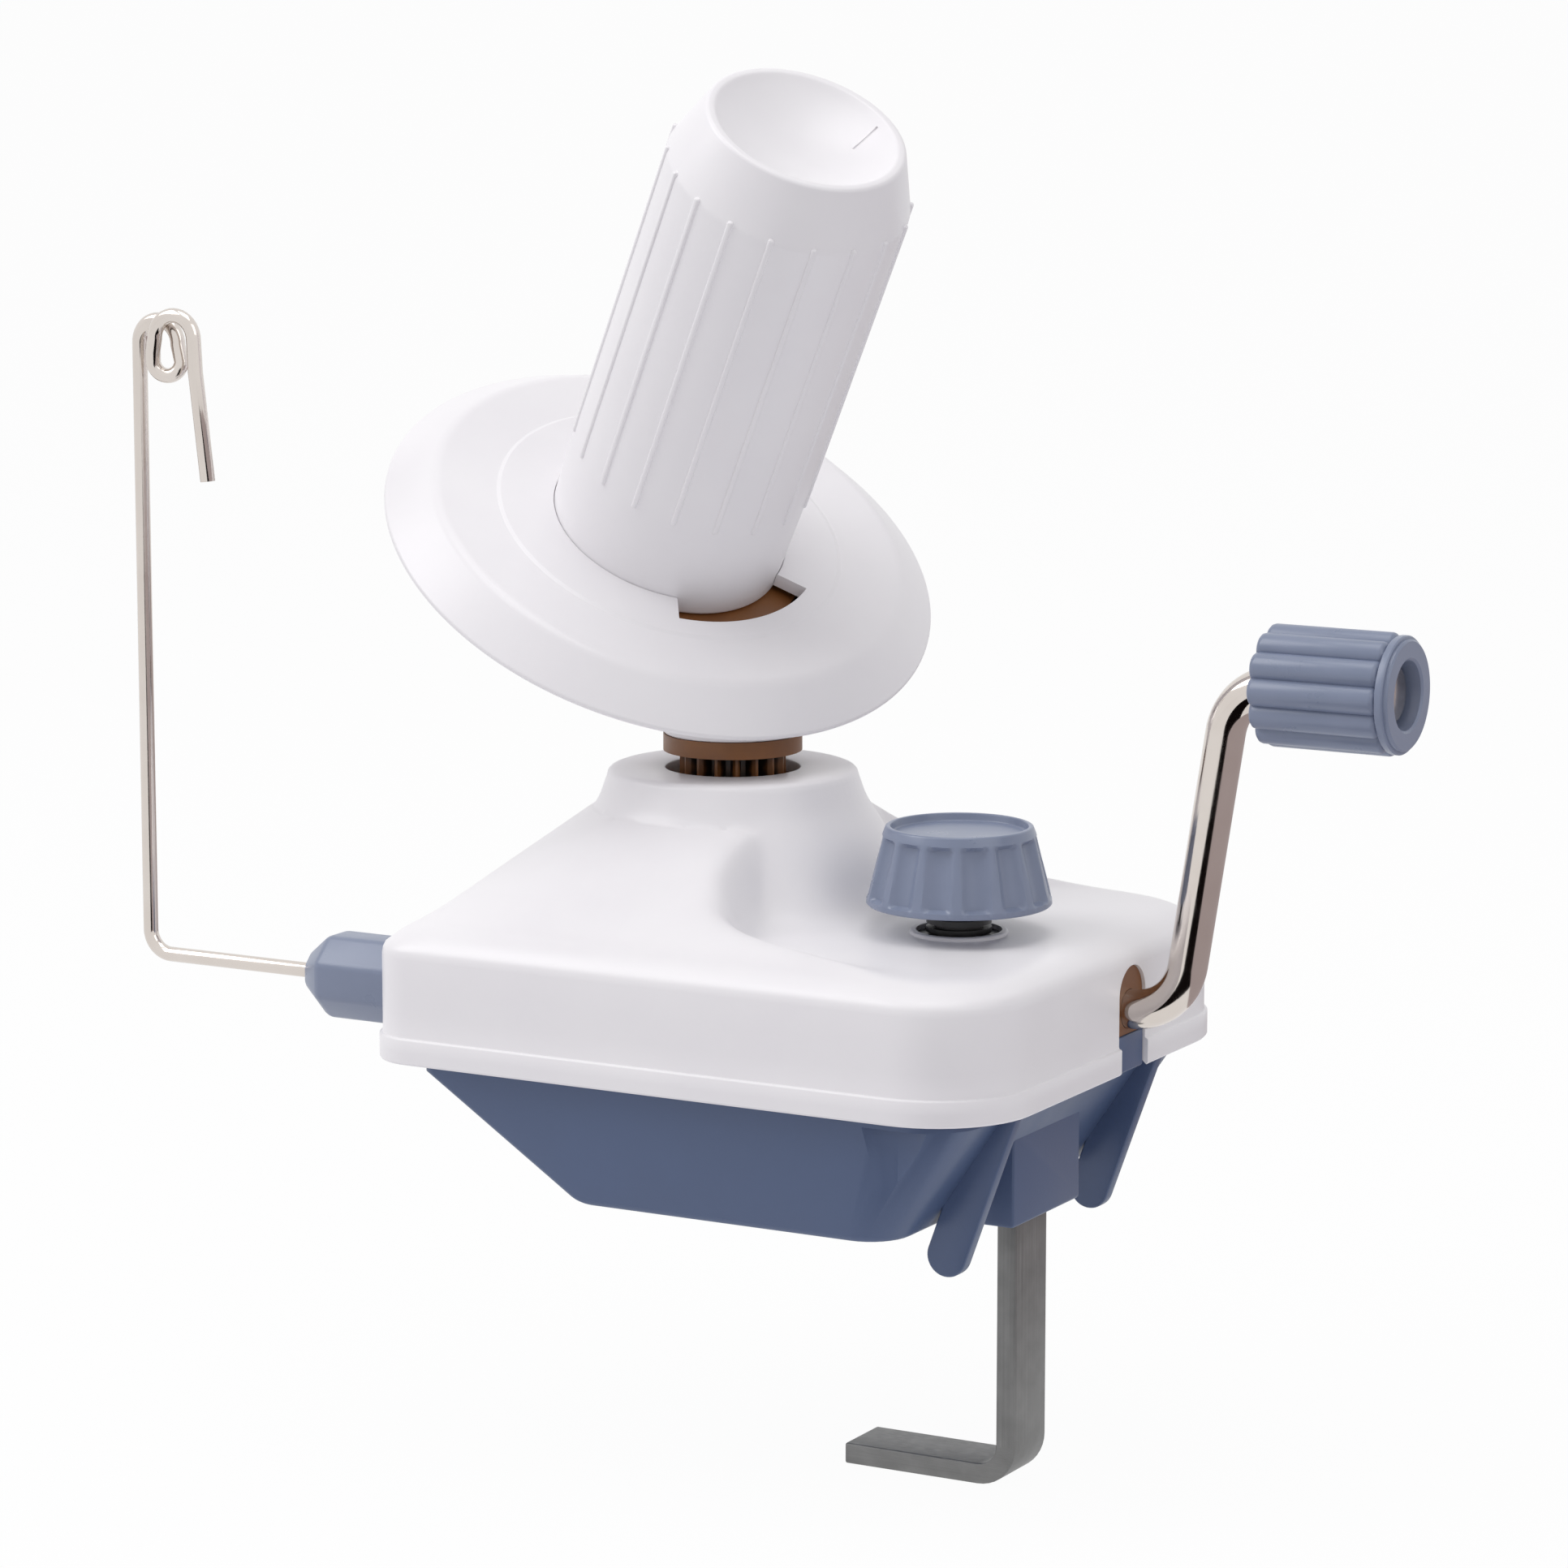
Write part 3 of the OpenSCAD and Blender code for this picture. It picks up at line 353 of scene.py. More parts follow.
def add_node(tree, kind, inputs=None, **settings):
    """Adds a node with its settings, and sets or links its inputs."""
    node = tree.nodes.new(kind)
    for name, value in settings.items():
        setattr(node, name, value)
    for socket, value in (inputs or {}).items():
        if isinstance(value, bpy.types.NodeSocket):
            tree.links.new(value, node.inputs[socket])
        else:
            node.inputs[socket].default_value = value
    return node


def new_finish(name):
    """An empty material: its tree, its shader and the place on the piece."""
    material = bpy.data.materials.new(name)
    material.use_nodes = True
    tree = material.node_tree
    place = add_node(tree, "ShaderNodeTexCoord").outputs["Object"]
    return material, tree, tree.nodes["Principled BSDF"], place


def moulded_plastic(name, dark, light, flow_mm, grain_mm, gloss, grain_depth_mm, painted_nook_shade=None):
    """Injection-moulded plastic: cloudy flow marks shift its colour, the tool's fine grain breaks its gloss.

    Painted shade, where it is given, darkens the nooks between gear teeth by their ambient occlusion.
    """
    material, tree, shader, place = new_finish(name)
    flow = add_node(tree, "ShaderNodeTexNoise", {"Vector": place, "Scale": per_mm(flow_mm), "Detail": 4.0})
    grain = add_node(tree, "ShaderNodeTexNoise", {"Vector": place, "Scale": per_mm(grain_mm), "Detail": 2.0})
    tint = add_node(tree, "ShaderNodeMix", {0: flow.outputs["Fac"], 6: linear(dark), 7: linear(light)},
                    data_type="RGBA")
    if painted_nook_shade:
        # Painted shade: ambient occlusion mixes a near-black brown into the tooth roots and gaps.
        nook = add_node(tree, "ShaderNodeAmbientOcclusion", {"Distance": 3 * MM}, only_local=True)
        unshaded_share = add_node(tree, "ShaderNodeMapRange",
                        {"Value": nook.outputs["AO"], "From Min": 0.45, "From Max": 0.85})
        tint = add_node(tree, "ShaderNodeMix",
                        {0: unshaded_share.outputs["Result"], 6: linear(painted_nook_shade), 7: tint.outputs[2]}, data_type="RGBA")
    polish = add_node(tree, "ShaderNodeMapRange", {"Value": flow.outputs["Fac"], "From Min": 0.3,
                                                   "From Max": 0.7, "To Min": gloss[0], "To Max": gloss[1]})
    relief = add_node(tree, "ShaderNodeBump", {"Height": grain.outputs["Fac"], "Strength": 0.5,
                                               "Distance": grain_depth_mm * MM})
    tree.links.new(tint.outputs[2], shader.inputs["Base Color"])
    tree.links.new(polish.outputs["Result"], shader.inputs["Roughness"])
    tree.links.new(relief.outputs["Normal"], shader.inputs["Normal"])
    shader.inputs["IOR"].default_value = 1.53
    return material


def polished_nickel_plate():
    """Bright nickel over steel rod: a warm mirror with faint wipe marks and a slight ripple of the plating."""
    material, tree, shader, place = new_finish("polished_nickel_plate")
    wipes = add_node(tree, "ShaderNodeTexNoise", {"Vector": place, "Scale": per_mm(9), "Detail": 5.0})
    ripple = add_node(tree, "ShaderNodeTexNoise", {"Vector": place, "Scale": per_mm(3), "Detail": 1.0})
    tint = add_node(tree, "ShaderNodeMix",
                    {0: wipes.outputs["Fac"], 6: linear("CFC6BF"), 7: linear("DDD6D0")}, data_type="RGBA")
    polish = add_node(tree, "ShaderNodeMapRange", {"Value": wipes.outputs["Fac"], "From Min": 0.3,
                                                   "From Max": 0.7, "To Min": 0.07, "To Max": 0.16})
    relief = add_node(tree, "ShaderNodeBump", {"Height": ripple.outputs["Fac"], "Strength": 0.2,
                                               "Distance": 0.02 * MM})
    tree.links.new(tint.outputs[2], shader.inputs["Base Color"])
    tree.links.new(polish.outputs["Result"], shader.inputs["Roughness"])
    tree.links.new(relief.outputs["Normal"], shader.inputs["Normal"])
    shader.inputs["Metallic"].default_value = 1.0
    return material


def zinc_plated_steel():
    """Dull zinc on drawn flat bar: grey, with die lines along the bar, which turn with it at the foot."""
    material, tree, shader, place = new_finish("zinc_plated_steel")
    upright = add_node(tree, "ShaderNodeMapping", {"Vector": place, "Scale": (1.0, 1.0, 0.02)})
    lying = add_node(tree, "ShaderNodeMapping", {"Vector": place, "Scale": (0.02, 1.0, 1.0)})
    height = add_node(tree, "ShaderNodeSeparateXYZ", {"Vector": place})
    bend = add_node(tree, "ShaderNodeMapRange", {"Value": height.outputs["Z"],
                                                 "From Min": (BAR_LOW.z + 2) * MM,
                                                 "From Max": (BAR_LOW.z + BAR_BEND) * MM})
    along = add_node(tree, "ShaderNodeMix", {0: bend.outputs["Result"], 4: lying.outputs["Vector"],
                                             5: upright.outputs["Vector"]}, data_type="VECTOR")
    lines = add_node(tree, "ShaderNodeTexNoise",
                     {"Vector": along.outputs[1], "Scale": per_mm(0.7), "Detail": 3.0})
    cloud = add_node(tree, "ShaderNodeTexNoise", {"Vector": place, "Scale": per_mm(6), "Detail": 4.0})
    drawn = add_node(tree, "ShaderNodeMix",
                     {0: lines.outputs["Fac"], 6: linear("707070"), 7: linear("A6A6A5")}, data_type="RGBA")
    worn = add_node(tree, "ShaderNodeMix",
                    {0: cloud.outputs["Fac"], 6: linear("C4C4C4"), 7: linear("FFFFFF")}, data_type="RGBA")
    tint = add_node(tree, "ShaderNodeMix", {0: 1.0, 6: drawn.outputs[2], 7: worn.outputs[2]},
                    data_type="RGBA", blend_type="MULTIPLY")
    polish = add_node(tree, "ShaderNodeMapRange", {"Value": lines.outputs["Fac"], "From Min": 0.3,
                                                   "From Max": 0.7, "To Min": 0.38, "To Max": 0.58})
    relief = add_node(tree, "ShaderNodeBump", {"Height": lines.outputs["Fac"], "Strength": 0.4,
                                               "Distance": 0.05 * MM})
    tree.links.new(tint.outputs[2], shader.inputs["Base Color"])
    tree.links.new(polish.outputs["Result"], shader.inputs["Roughness"])
    tree.links.new(relief.outputs["Normal"], shader.inputs["Normal"])
    shader.inputs["Metallic"].default_value = 0.75
    return material


FINISHES = {
    "white_plastic": moulded_plastic("white_moulded_abs", "EFEDF0", "F7F6F7", flow_mm=26, grain_mm=0.6,
                                     gloss=(0.3, 0.4), grain_depth_mm=0.02),
    "blue_plastic": moulded_plastic("slate_blue_moulded_abs", "4A5B7C", "546587", flow_mm=18, grain_mm=0.6,
                                    gloss=(0.36, 0.48), grain_depth_mm=0.03),
    "light_blue_plastic": moulded_plastic("pale_slate_moulded_abs", "78839A", "858EA5", flow_mm=9, grain_mm=0.5,
                                          gloss=(0.26, 0.36), grain_depth_mm=0.02),
    # The brown gears get painted shade, a near-black brown, in the nooks between their teeth.
    "brown_plastic": moulded_plastic("brown_moulded_nylon", "6E4322", "8A5829", flow_mm=7, grain_mm=0.5,
                                     gloss=(0.36, 0.5), grain_depth_mm=0.03, painted_nook_shade="160A06"),
    "black_plastic": moulded_plastic("black_moulded_nylon", "101012", "1C1C1F", flow_mm=7, grain_mm=0.5,
                                     gloss=(0.3, 0.42), grain_depth_mm=0.03),
    "bright_steel": polished_nickel_plate(),
    "grey_steel": zinc_plated_steel(),
}
SLOTS = {row["node"]: row["material_slot"] for row in frame["record"]["subparts"]}
BODIES = {node: body for body, nodes in frame["record"]["behaviour"]["bodies"].items() for node in nodes}


def dress(piece, node, smooth_angle=32):
    """Lets a modelled piece stand for a CAD node, on its body and in its finish."""
    hold(piece)
    bpy.ops.object.transform_apply(location=True, rotation=True, scale=True)
    bpy.ops.object.shade_smooth_by_angle(angle=math.radians(smooth_angle))
    piece.name = piece.data.name = "dressed_" + node
    piece.data.materials.clear()
    piece.data.materials.append(FINISHES[SLOTS[node]])
    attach(piece, BODIES[node])
    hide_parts(node)
    return piece


# Housing

def housing_plan(grow):
    """Plan of the housing wall, grown by some millimetres."""
    return round_box(HOUSE_X0 - grow, HOUSE_X1 + grow, HOUSE_Y0 - grow, HOUSE_Y1 + grow,
                     CORNER_GUIDE + grow, CORNER_END + grow)


def housing_height(x, y):
    """Height of the housing's top at a place in plan, level under the ring round the clamp screw."""
    if math.hypot(x - SCREW_X, y - SCREW_Y) < SCREW_RING_R + 2:
        return SHELF_Z
    above = Vector((x, y, 2 * NECK_Z)) * MM
    _, place, _, _ = frame["nodes"]["top_housing"].ray_cast(above, Vector((0, 0, -1)))
    return place.z / MM


def housing_rings():
    """Rings of the housing's outer skin, from the bore of the neck over the top and down the wall."""
    edge = housing_plan(-1.4)
    around = [p.normalized() for p in edge]
    neck = [(NECK_HOLE_R, NECK_Z - 6), (NECK_HOLE_R, NECK_Z - 0.5), (NECK_HOLE_R + 0.15, NECK_Z - 0.15),
            (NECK_HOLE_R + 0.5, NECK_Z), (NECK_R - 1.2, NECK_Z), (NECK_R - 0.4, NECK_Z - 0.08),
            (NECK_R + 0.3, NECK_Z - 0.35)]
    rings = [[(*(d * r), z) for d in around] for r, z in neck]
    skin_start = NECK_R + 0.8
    skin_rings = 60
    for k in range(skin_rings + 1):
        share = (k / skin_rings) ** 1.35
        places = [(d * skin_start).lerp(p, share) for d, p in zip(around, edge)]
        rings.append([(*p, housing_height(*p)) for p in places])
    wall = [(-0.7, SHOULDER_Z + 0.25), (-0.2, SHOULDER_Z - 0.75), (0, SHOULDER_Z - 2), (0, SHOULDER_Z - 8),
            (0, LIP_TOP + 5), (0, LIP_TOP + 0.5), (0.12, LIP_TOP + 0.15), (LIP_PROUD - 0.2, LIP_TOP),
            (LIP_PROUD, LIP_TOP - 0.25), (LIP_PROUD, RIM_Z + 2.5), (LIP_PROUD, RIM_Z + 0.4),
            (LIP_PROUD - 0.35, RIM_Z)]
    return rings + [at_height(housing_plan(grow), z) for grow, z in wall]


def top_housing():
    """White shell: a smooth skin over neck, slope, scoop and shelf, given a wall, a screw hole and a notch."""
    piece = wrapped(housing_rings())
    edit(piece)
    smooth_above, smooth_beyond = SHOULDER_Z + 1.3, NECK_R + 4
    pick(piece, "verts", lambda v: v.co.z > smooth_above * MM and v.co.xy.length > smooth_beyond * MM)
    bpy.ops.mesh.vertices_smooth(factor=0.5, repeat=24)
    apply_modifier(piece, "SOLIDIFY", thickness=(WALL - 0.1) * MM, offset=-1)
    ring_low, ring_top = SHELF_Z - 1, SHELF_Z + 0.8
    ring = turned(rounded([(0, ring_low), (SCREW_RING_R, ring_low), (SCREW_RING_R, ring_top, 0.5),
                           (0, ring_top)], closed=False), 72)
    carve(piece, settle(ring, Matrix.Translation((SCREW_X * MM, SCREW_Y * MM, 0))), "UNION")
    carve(piece, rod((SCREW_X, SCREW_Y, SHELF_Z - 9), (SCREW_X, SCREW_Y, SHELF_Z + 9), SCREW_HOLE_R))
    notch = round_ended(NOTCH_HALF, 3 * WALL, 2 * NOTCH_ARCH_Z)
    notch_place = Matrix.Translation(((HOUSE_X1 + WALL) * MM, 0, NOTCH_ARCH_Z * MM))
    carve(piece, settle(notch, notch_place @ Matrix.Rotation(math.pi, 4, "X")))
    dress(piece, "top_housing", 40)


# Tray

def leg(y):
    """Slanting leg with a round foot, which stands off the table edge."""
    half, thick, length, slant = 4.3, 3.2, 34.5, 20
    foot_x, foot_z = -4.1, -32
    piece = soften(round_ended(half, thick, length), 0.5)
    foot = Matrix.Translation(Vector((foot_x, thick / 2, foot_z)) * MM) @ Matrix.Rotation(math.pi / 2, 4, "Z")
    hip = Matrix.Translation(Vector((HOUSE_X1 - 4.5, y, RIM_Z - 2.5)) * MM)
    return settle(piece, hip @ Matrix.Rotation(math.radians(slant), 4, "Y") @ foot)


def bottom_tray():
    """Slate-blue tray: drafted flanks, a sloped end, a rounded keel, two legs and a sleeve for the bar."""
    middle_y = (HOUSE_Y0 + HOUSE_Y1) / 2
    half_y = (HOUSE_Y1 - HOUSE_Y0) / 2
    # Plans at the rim, at the keel and of the flat: left, right, half width, corner radii
    top = (HOUSE_X0 + 11, HOUSE_X1 - 7, half_y - 4, 3, 12)
    low = (-7.6, HOUSE_X1 - 22, half_y - 6, 3, 10)
    flat = (-2.5, HOUSE_X1 - 24, half_y - 7.6, 2.5, 8)
    keel_z = 3.5

    def ring(shape, inset, z):
        x0, x1, half, left_r, right_r = shape
        plan = round_box(x0 + inset, x1 - inset, middle_y - half + inset, middle_y + half - inset,
                         left_r, right_r, 8, (12, 12))
        return at_height(plan, z)

    def form(inset, top_z):
        slope = rounded([(top[0], RIM_Z - 2), (flat[0], 0, 7), (flat[0] + 9, 0)], 9, closed=False)
        rings = [ring(top, inset, top_z)]
        for x0, z in slope[:-1]:
            down = min(1.0, max(0.0, (keel_z - z) / keel_z))
            share = 1 - math.sqrt(1 - down * down)
            height = min(1.0, (RIM_Z - 2 - z) / (RIM_Z - 2 - keel_z))
            side = [a + (b - a) * height for a, b in zip(top, low)]
            rings.append(ring([x0] + [a + (b - a) * share for a, b in zip(side, flat)][1:], inset, z + inset))
        return cap_ends(wrapped(rings))

    piece = form(0, RIM_Z)
    seat = [at_height(housing_plan(-WALL - 0.3), z) for z in (RIM_Z - 0.1, RIM_Z + 2)]
    carve(piece, cap_ends(wrapped(seat)), "UNION")
    carve(piece, form(WALL, RIM_Z + 3))

    scoop_r, scoop_x, scoop_top, scoop_drop = 14, HOUSE_X1 - 20, RIM_Z - 1.6, 22
    scoop_y = HOUSE_Y0 + 6.4 - scoop_r
    lean = math.tan(math.radians(2.3))
    scoop_foot = (scoop_x, scoop_y - scoop_drop * lean, scoop_top - scoop_drop)
    carve(piece, rod((scoop_x, scoop_y, scoop_top), scoop_foot, scoop_r, 96))

    sleeve_half = BAR_WIDTH / 2 + 8
    sleeve_low = (SCREW_X + 2, SCREW_Y - sleeve_half, -2.6)
    sleeve_high = (BAR_HIGH.x + 3.4, SCREW_Y + sleeve_half, RIM_Z - 0.3)
    carve(piece, block(sleeve_low, sleeve_high, 0.8), "UNION")
    hollow_low = (SCREW_X - 14, sleeve_low[1] + WALL, WALL)
    hollow_high = (sleeve_high[0] - WALL, sleeve_high[1] - WALL, RIM_Z + 3)
    carve(piece, block(hollow_low, hollow_high))
    legs_y, leg_spread = SCREW_Y + 2, 32
    for side in (-1, 1):
        carve(piece, leg(legs_y + leg_spread * side), "UNION")
    tongue_low = (HOUSE_X1 - WALL, -NOTCH_HALF + 0.2, RIM_Z - 0.1)
    tongue_high = (HOUSE_X1 - 0.3, NOTCH_HALF - 0.2, CRANK_Z - 5.1)
    carve(piece, block(tongue_low, tongue_high, 0.4), "UNION")
    gap, slot_low, slot_top = 0.4, -4, 6
    carve(piece, block((BAR_HIGH.x - BAR_THICK - gap, BAR_LOW.y - gap, slot_low),
                       (BAR_HIGH.x + gap, BAR_HIGH.y + gap, slot_top)))
    pocket_r, pocket_top = 4.2, RIM_Z - 2.5
    for x in (HOUSE_X0 + 28, HOUSE_X1 - 31):
        for y in (HOUSE_Y0 + 14, HOUSE_Y1 - 14):
            carve(piece, rod((x, y, -5), (x, y, pocket_top), pocket_r))
    dress(piece, "bottom_tray", 28)


# Winding head

def winding_disc():
    """White disc: a level ring with a soft skirt, a cup for the gear, a hub and a window by the spindle."""
    hole_r, rim_r, cup_r, floor_z = 25.1, 60, 33.7, -13
    ring_top, ring_under = 8.4, 5.5
    outline = rounded([(hole_r, ring_under), (hole_r, ring_top, 0.3), (36.6, ring_top, 0.4), (37.4, 8, 0.4),
                       (50.6, 8, 4.5), (rim_r - 0.4, 0.9, 0.8), (rim_r - 0.5, 0, 0.3), (rim_r - 2.4, 0),
                       (rim_r - 8.5, 4.4, 3), (rim_r - 12, ring_under), (cup_r + 2.4, ring_under, 1.5),
                       (cup_r + 2.4, floor_z - 3, 1.5), (7, floor_z - 3), (7, floor_z - 5, 0.4),
                       (3, floor_z - 5), (3, floor_z), (cup_r, floor_z, 1), (cup_r, ring_under)], 6)
    piece = settle(turned(outline, 160), TILTED)
    hub_low, hub_top, hub_r = 87.5, 93.5, 14.2
    gear_low, gear_top, gear_room_r = 93.6, 99.4, 12.3
    shaft_room_r = 3.6
    carve(piece, soften(rod((0, 0, hub_low), (0, 0, hub_top), hub_r), 0.4), "UNION")
    carve(piece, rod((0, 0, gear_low), (0, 0, gear_top), gear_room_r))
    carve(piece, rod((0, 0, hub_low - 7.5), (0, 0, gear_top - 0.4), shaft_room_r))
    window_r, window_low, window_top, window_span, window_turn = 32, 4, 12, 64, 42
    window = turned(rounded([(hole_r - 1, window_low), (window_r, window_low), (window_r, window_top),
                             (hole_r - 1, window_top)]), 24, window_span)
    carve(piece, settle(cap_ends(window), TILTED @ Matrix.Rotation(math.radians(window_turn), 4, "Z")))
    dress(piece, "winding_disc", 30)


def spindle_shell():
    """White spindle: a slightly swelling tube with fine ribs, a tapered shoulder and a dished, slit top."""
    radius, top, foot_r, foot_z, inner_r = 25.4, 110, 25, 4.1, 22.8
    rim_r, dish_depth = radius - 6.6, 6
    dish = [(rim_r * math.sin(a), top - dish_depth * (math.cos(a) ** 1.6))
            for a in (math.radians(90 - 9 * k) for k in range(2, 11))]
    outline = rounded([(inner_r, foot_z), (foot_r, foot_z, 1), (foot_r, 10), (radius, 30),
                       (radius, top - 12.5, 3), (radius - 4.7, top, 1), (rim_r + 0.2, top, 1.2), dish[0]],
                      6, closed=False)
    inside = [(0, top - 9), (inner_r - 5, top - 9), (inner_r - 1, top - 14), (inner_r, top - 22),
              (inner_r, foot_z)]
    piece = turned([*outline, *dish[1:], *inside], 144)
    slit_length, slit_width, slit_turn, slit_dip = 7.6, 0.5, -64, 23
    slit_place = Matrix.Translation(Vector((-1.4, 17.4, top - 1.2)) * MM)
    along_dish = (Matrix.Rotation(math.radians(slit_turn), 4, "Z")
                  @ Matrix.Rotation(math.radians(slit_dip), 4, "Y"))
    carve(piece, settle(block((0, 0, -0.5), (slit_length, slit_width, 4)), slit_place @ along_dish))
    ribs, first_rib, rib_low, rib_high = 18, 4.7, 26, top - 11.5
    rib_half, rib_proud = 0.6, 0.45
    for i in range(ribs):
        rib = block((radius - 1, -rib_half, rib_low), (radius + rib_proud, rib_half, rib_high), 0.4)
        turn = math.radians(first_rib + i * 360 / ribs)
        carve(piece, settle(rib, Matrix.Rotation(turn, 4, "Z")), "UNION")
    dress(settle(piece, TILTED), "spindle_shell", 30)


# Crank

def crank_rod():
    """Bent steel rod: along the gear shaft, up the arm and out through the grip."""
    arm = math.radians(ARM_ANGLE)
    foot_x = HOUSE_X1 + 0.3
    elbow = arc((foot_x, CRANK_Z + ROD_BEND), ROD_BEND, -90, -90 + ARM_ANGLE, 16)
    rise = GRIP_Z - ROD_BEND * (1 - math.cos(arm)) - elbow[-1][2]
    wrist_x = elbow[-1][0] + rise / math.tan(arm) + ROD_BEND * math.sin(arm)
    wrist = arc((wrist_x, GRIP_Z - ROD_BEND), ROD_BEND, 90 + ARM_ANGLE, 90, 16)
    ends = (CRANK_LOW.x, 0, CRANK_Z), (CRANK_HIGH.x, 0, GRIP_Z)
    path = [ends[0], (HOUSE_X1 - 20, 0, CRANK_Z), *elbow, *wrist, ends[1]]
    dress(soften(drawn_wire(path, ROD_R, 14), 0.5, 3, 60), "crank_rod", 50)


def crank_grip():
    """Pale slate grip: twelve broad ribs with thin grooves between, a collar and a deep round end."""
    ribs, rib_r, rib_at, core_r, collar_r, bore_r = 12, 2.93, 9.27, 10.4, 11.7, 4.05
    recess_r, length = 6.9, GRIP_HIGH.x - GRIP_LOW.x
    recess_x = length - 6
    pitch = 360 / ribs
    across_rib = (-15, -14, -13, -11.5, -9, -6, -3, 0, 3, 6, 9, 11.5, 13, 14)
    turns = [pitch * i + part for i in range(ribs) for part in across_rib]

    def ring(x, ribbed, shrink=0.0, radius=None):
        points = []
        for turn in turns:
            off = math.radians((turn + pitch / 2) % pitch - pitch / 2)
            span = rib_r ** 2 - (rib_at * math.sin(off)) ** 2
            rib = rib_at * math.cos(off) + math.sqrt(max(span, 0))
            r = radius or (max(core_r, rib) if ribbed else collar_r) - shrink
            a = math.radians(turn)
            points.append((GRIP_LOW.x + x, r * math.cos(a), GRIP_Z + r * math.sin(a)))
        return points

    entry_r, entry_x = 5, 3.2
    rings = [ring(entry_x, True, radius=bore_r), ring(entry_x, True, radius=entry_r),
             ring(0, True, radius=entry_r), ring(0, True, radius=8), ring(0, True, 1.6), ring(0.25, True, 0.7),
             ring(0.7, True, 0.2), ring(1.4, True), ring(length - 3.6, True), ring(length - 3.1, True, 0.15),
             ring(length - 2.8, True, 0.55), ring(length - 2.6, False, 0.5), ring(length - 2.4, False, 0.1),
             ring(length - 2.1, False), ring(length - 1.1, False), ring(length - 0.85, False, 0.2),
             ring(length - 0.8, False, 0.7), ring(length - 0.3, False, 0.75), ring(length, False, 1.1),
             ring(length, False, radius=recess_r + 0.5), ring(length - 0.4, False, radius=recess_r),
             ring(recess_x, False, radius=recess_r), ring(recess_x, False, radius=bore_r),
             ring(entry_x, True, radius=bore_r)]
    dress(wrapped(rings), "crank_grip", 38)


# Clamp

def clamp_knob():
    """Pale slate knob: a fluted cone with a plain lip below and a smooth rim round a sunk top."""
    low_r, top_r, height, bore_r, flutes = 18.7, 14.8, KNOB_HIGH.z - KNOB_LOW.z, 5.02, 14
    taper = (low_r - top_r - 0.6) / (height - 2.6)
    side = [(low_r - taper * (z - 1.2), z) for z in (1.3, 1.5, 1.8, 2.2, 3, 5, 8, 11, 12.8, 13.2, 13.6, 14.1)]
    outline = [Vector(p) for p in [(low_r - 0.3, 0), (low_r, 0.3), (low_r, 1.2)] + side]
    outline += rounded([(top_r + 0.6, height - 1.6), (top_r, height, 0.6), (top_r - 0.9, height, 0.3),
                        (top_r - 1.3, height - 1.6, 0.5), (0, height - 1.6)], 5, closed=False)
    under_r, under_z, skin_z = 9, 2, height - 1.9
    outline += [Vector(p) for p in [(0, skin_z), (bore_r, skin_z), (bore_r, under_z), (under_r, under_z),
                                    (under_r, 0), (low_r - 0.3, 0)]]
    piece = turned(outline, flutes * 16)
    pitch = 2 * math.pi / flutes
    flute_r, flute_out = 3.9, 2.4
    for vertex in piece.data.vertices:
        r, z = vertex.co.xy.length / MM, vertex.co.z / MM
        off = (math.atan2(vertex.co.y, vertex.co.x) + pitch / 2) % pitch - pitch / 2
        centre = low_r + flute_out - taper * (z - 1.2)
        reach = flute_r ** 2 - (centre * math.sin(off)) ** 2
        if r < top_r or reach <= 0:
            continue
        depth = max(0.0, r - (centre * math.cos(off) - math.sqrt(reach)))
        depth *= smooth_step(1.1, 1.8, z) * (1 - smooth_step(13, 14.2, z))
        vertex.co.xy *= (r - depth) / r
    settle(piece, Matrix.Translation(Vector((SCREW_X, SCREW_Y, KNOB_LOW.z)) * MM))
    dress(piece, "clamp_knob", 38)


def clamp_bracket():
    """Flat steel bar: drawn out as a strip and bent twice, with a hole for the screw in its upper arm."""
    y, arm_end_x, hole_r = SCREW_Y, SCREW_X - 9, 5.4
    drop_selection()
    bpy.ops.mesh.primitive_plane_add(size=1)
    piece = bpy.context.object
    piece.scale = (BAR_THICK * MM, BAR_WIDTH * MM, 1)
    piece.rotation_euler = (0, math.pi / 2, 0)
    piece.location = Vector((BAR_LOW.x, y, BAR_LOW.z + BAR_THICK / 2)) * MM
    bpy.ops.object.transform_apply(location=True, rotation=True, scale=True)
    edit(piece, "FACE")

    def draw(along):
        bpy.ops.mesh.extrude_region_move(TRANSFORM_OT_translate={"value": Vector(along) * MM})

    def bend(centre):
        bpy.ops.mesh.spin(steps=10, angle=math.pi / 2, center=Vector(centre) * MM, axis=(0, 1, 0))

    draw((BAR_HIGH.x - BAR_BEND - BAR_LOW.x, 0, 0))
    bend((BAR_HIGH.x - BAR_BEND, y, BAR_LOW.z + BAR_BEND))
    draw((0, 0, BAR_HIGH.z - BAR_LOW.z - 2 * BAR_BEND))
    bend((BAR_HIGH.x - BAR_BEND, y, BAR_HIGH.z - BAR_BEND))
    draw((arm_end_x - BAR_HIGH.x + BAR_BEND, 0, 0))
    close_up(piece)
    soften(piece, 0.45, 3, 50)
    carve(piece, rod((SCREW_X, y, BAR_HIGH.z - BAR_THICK - 3), (SCREW_X, y, BAR_HIGH.z + 3), hole_r))
    dress(piece, "clamp_bracket", 35)


# Yarn guide

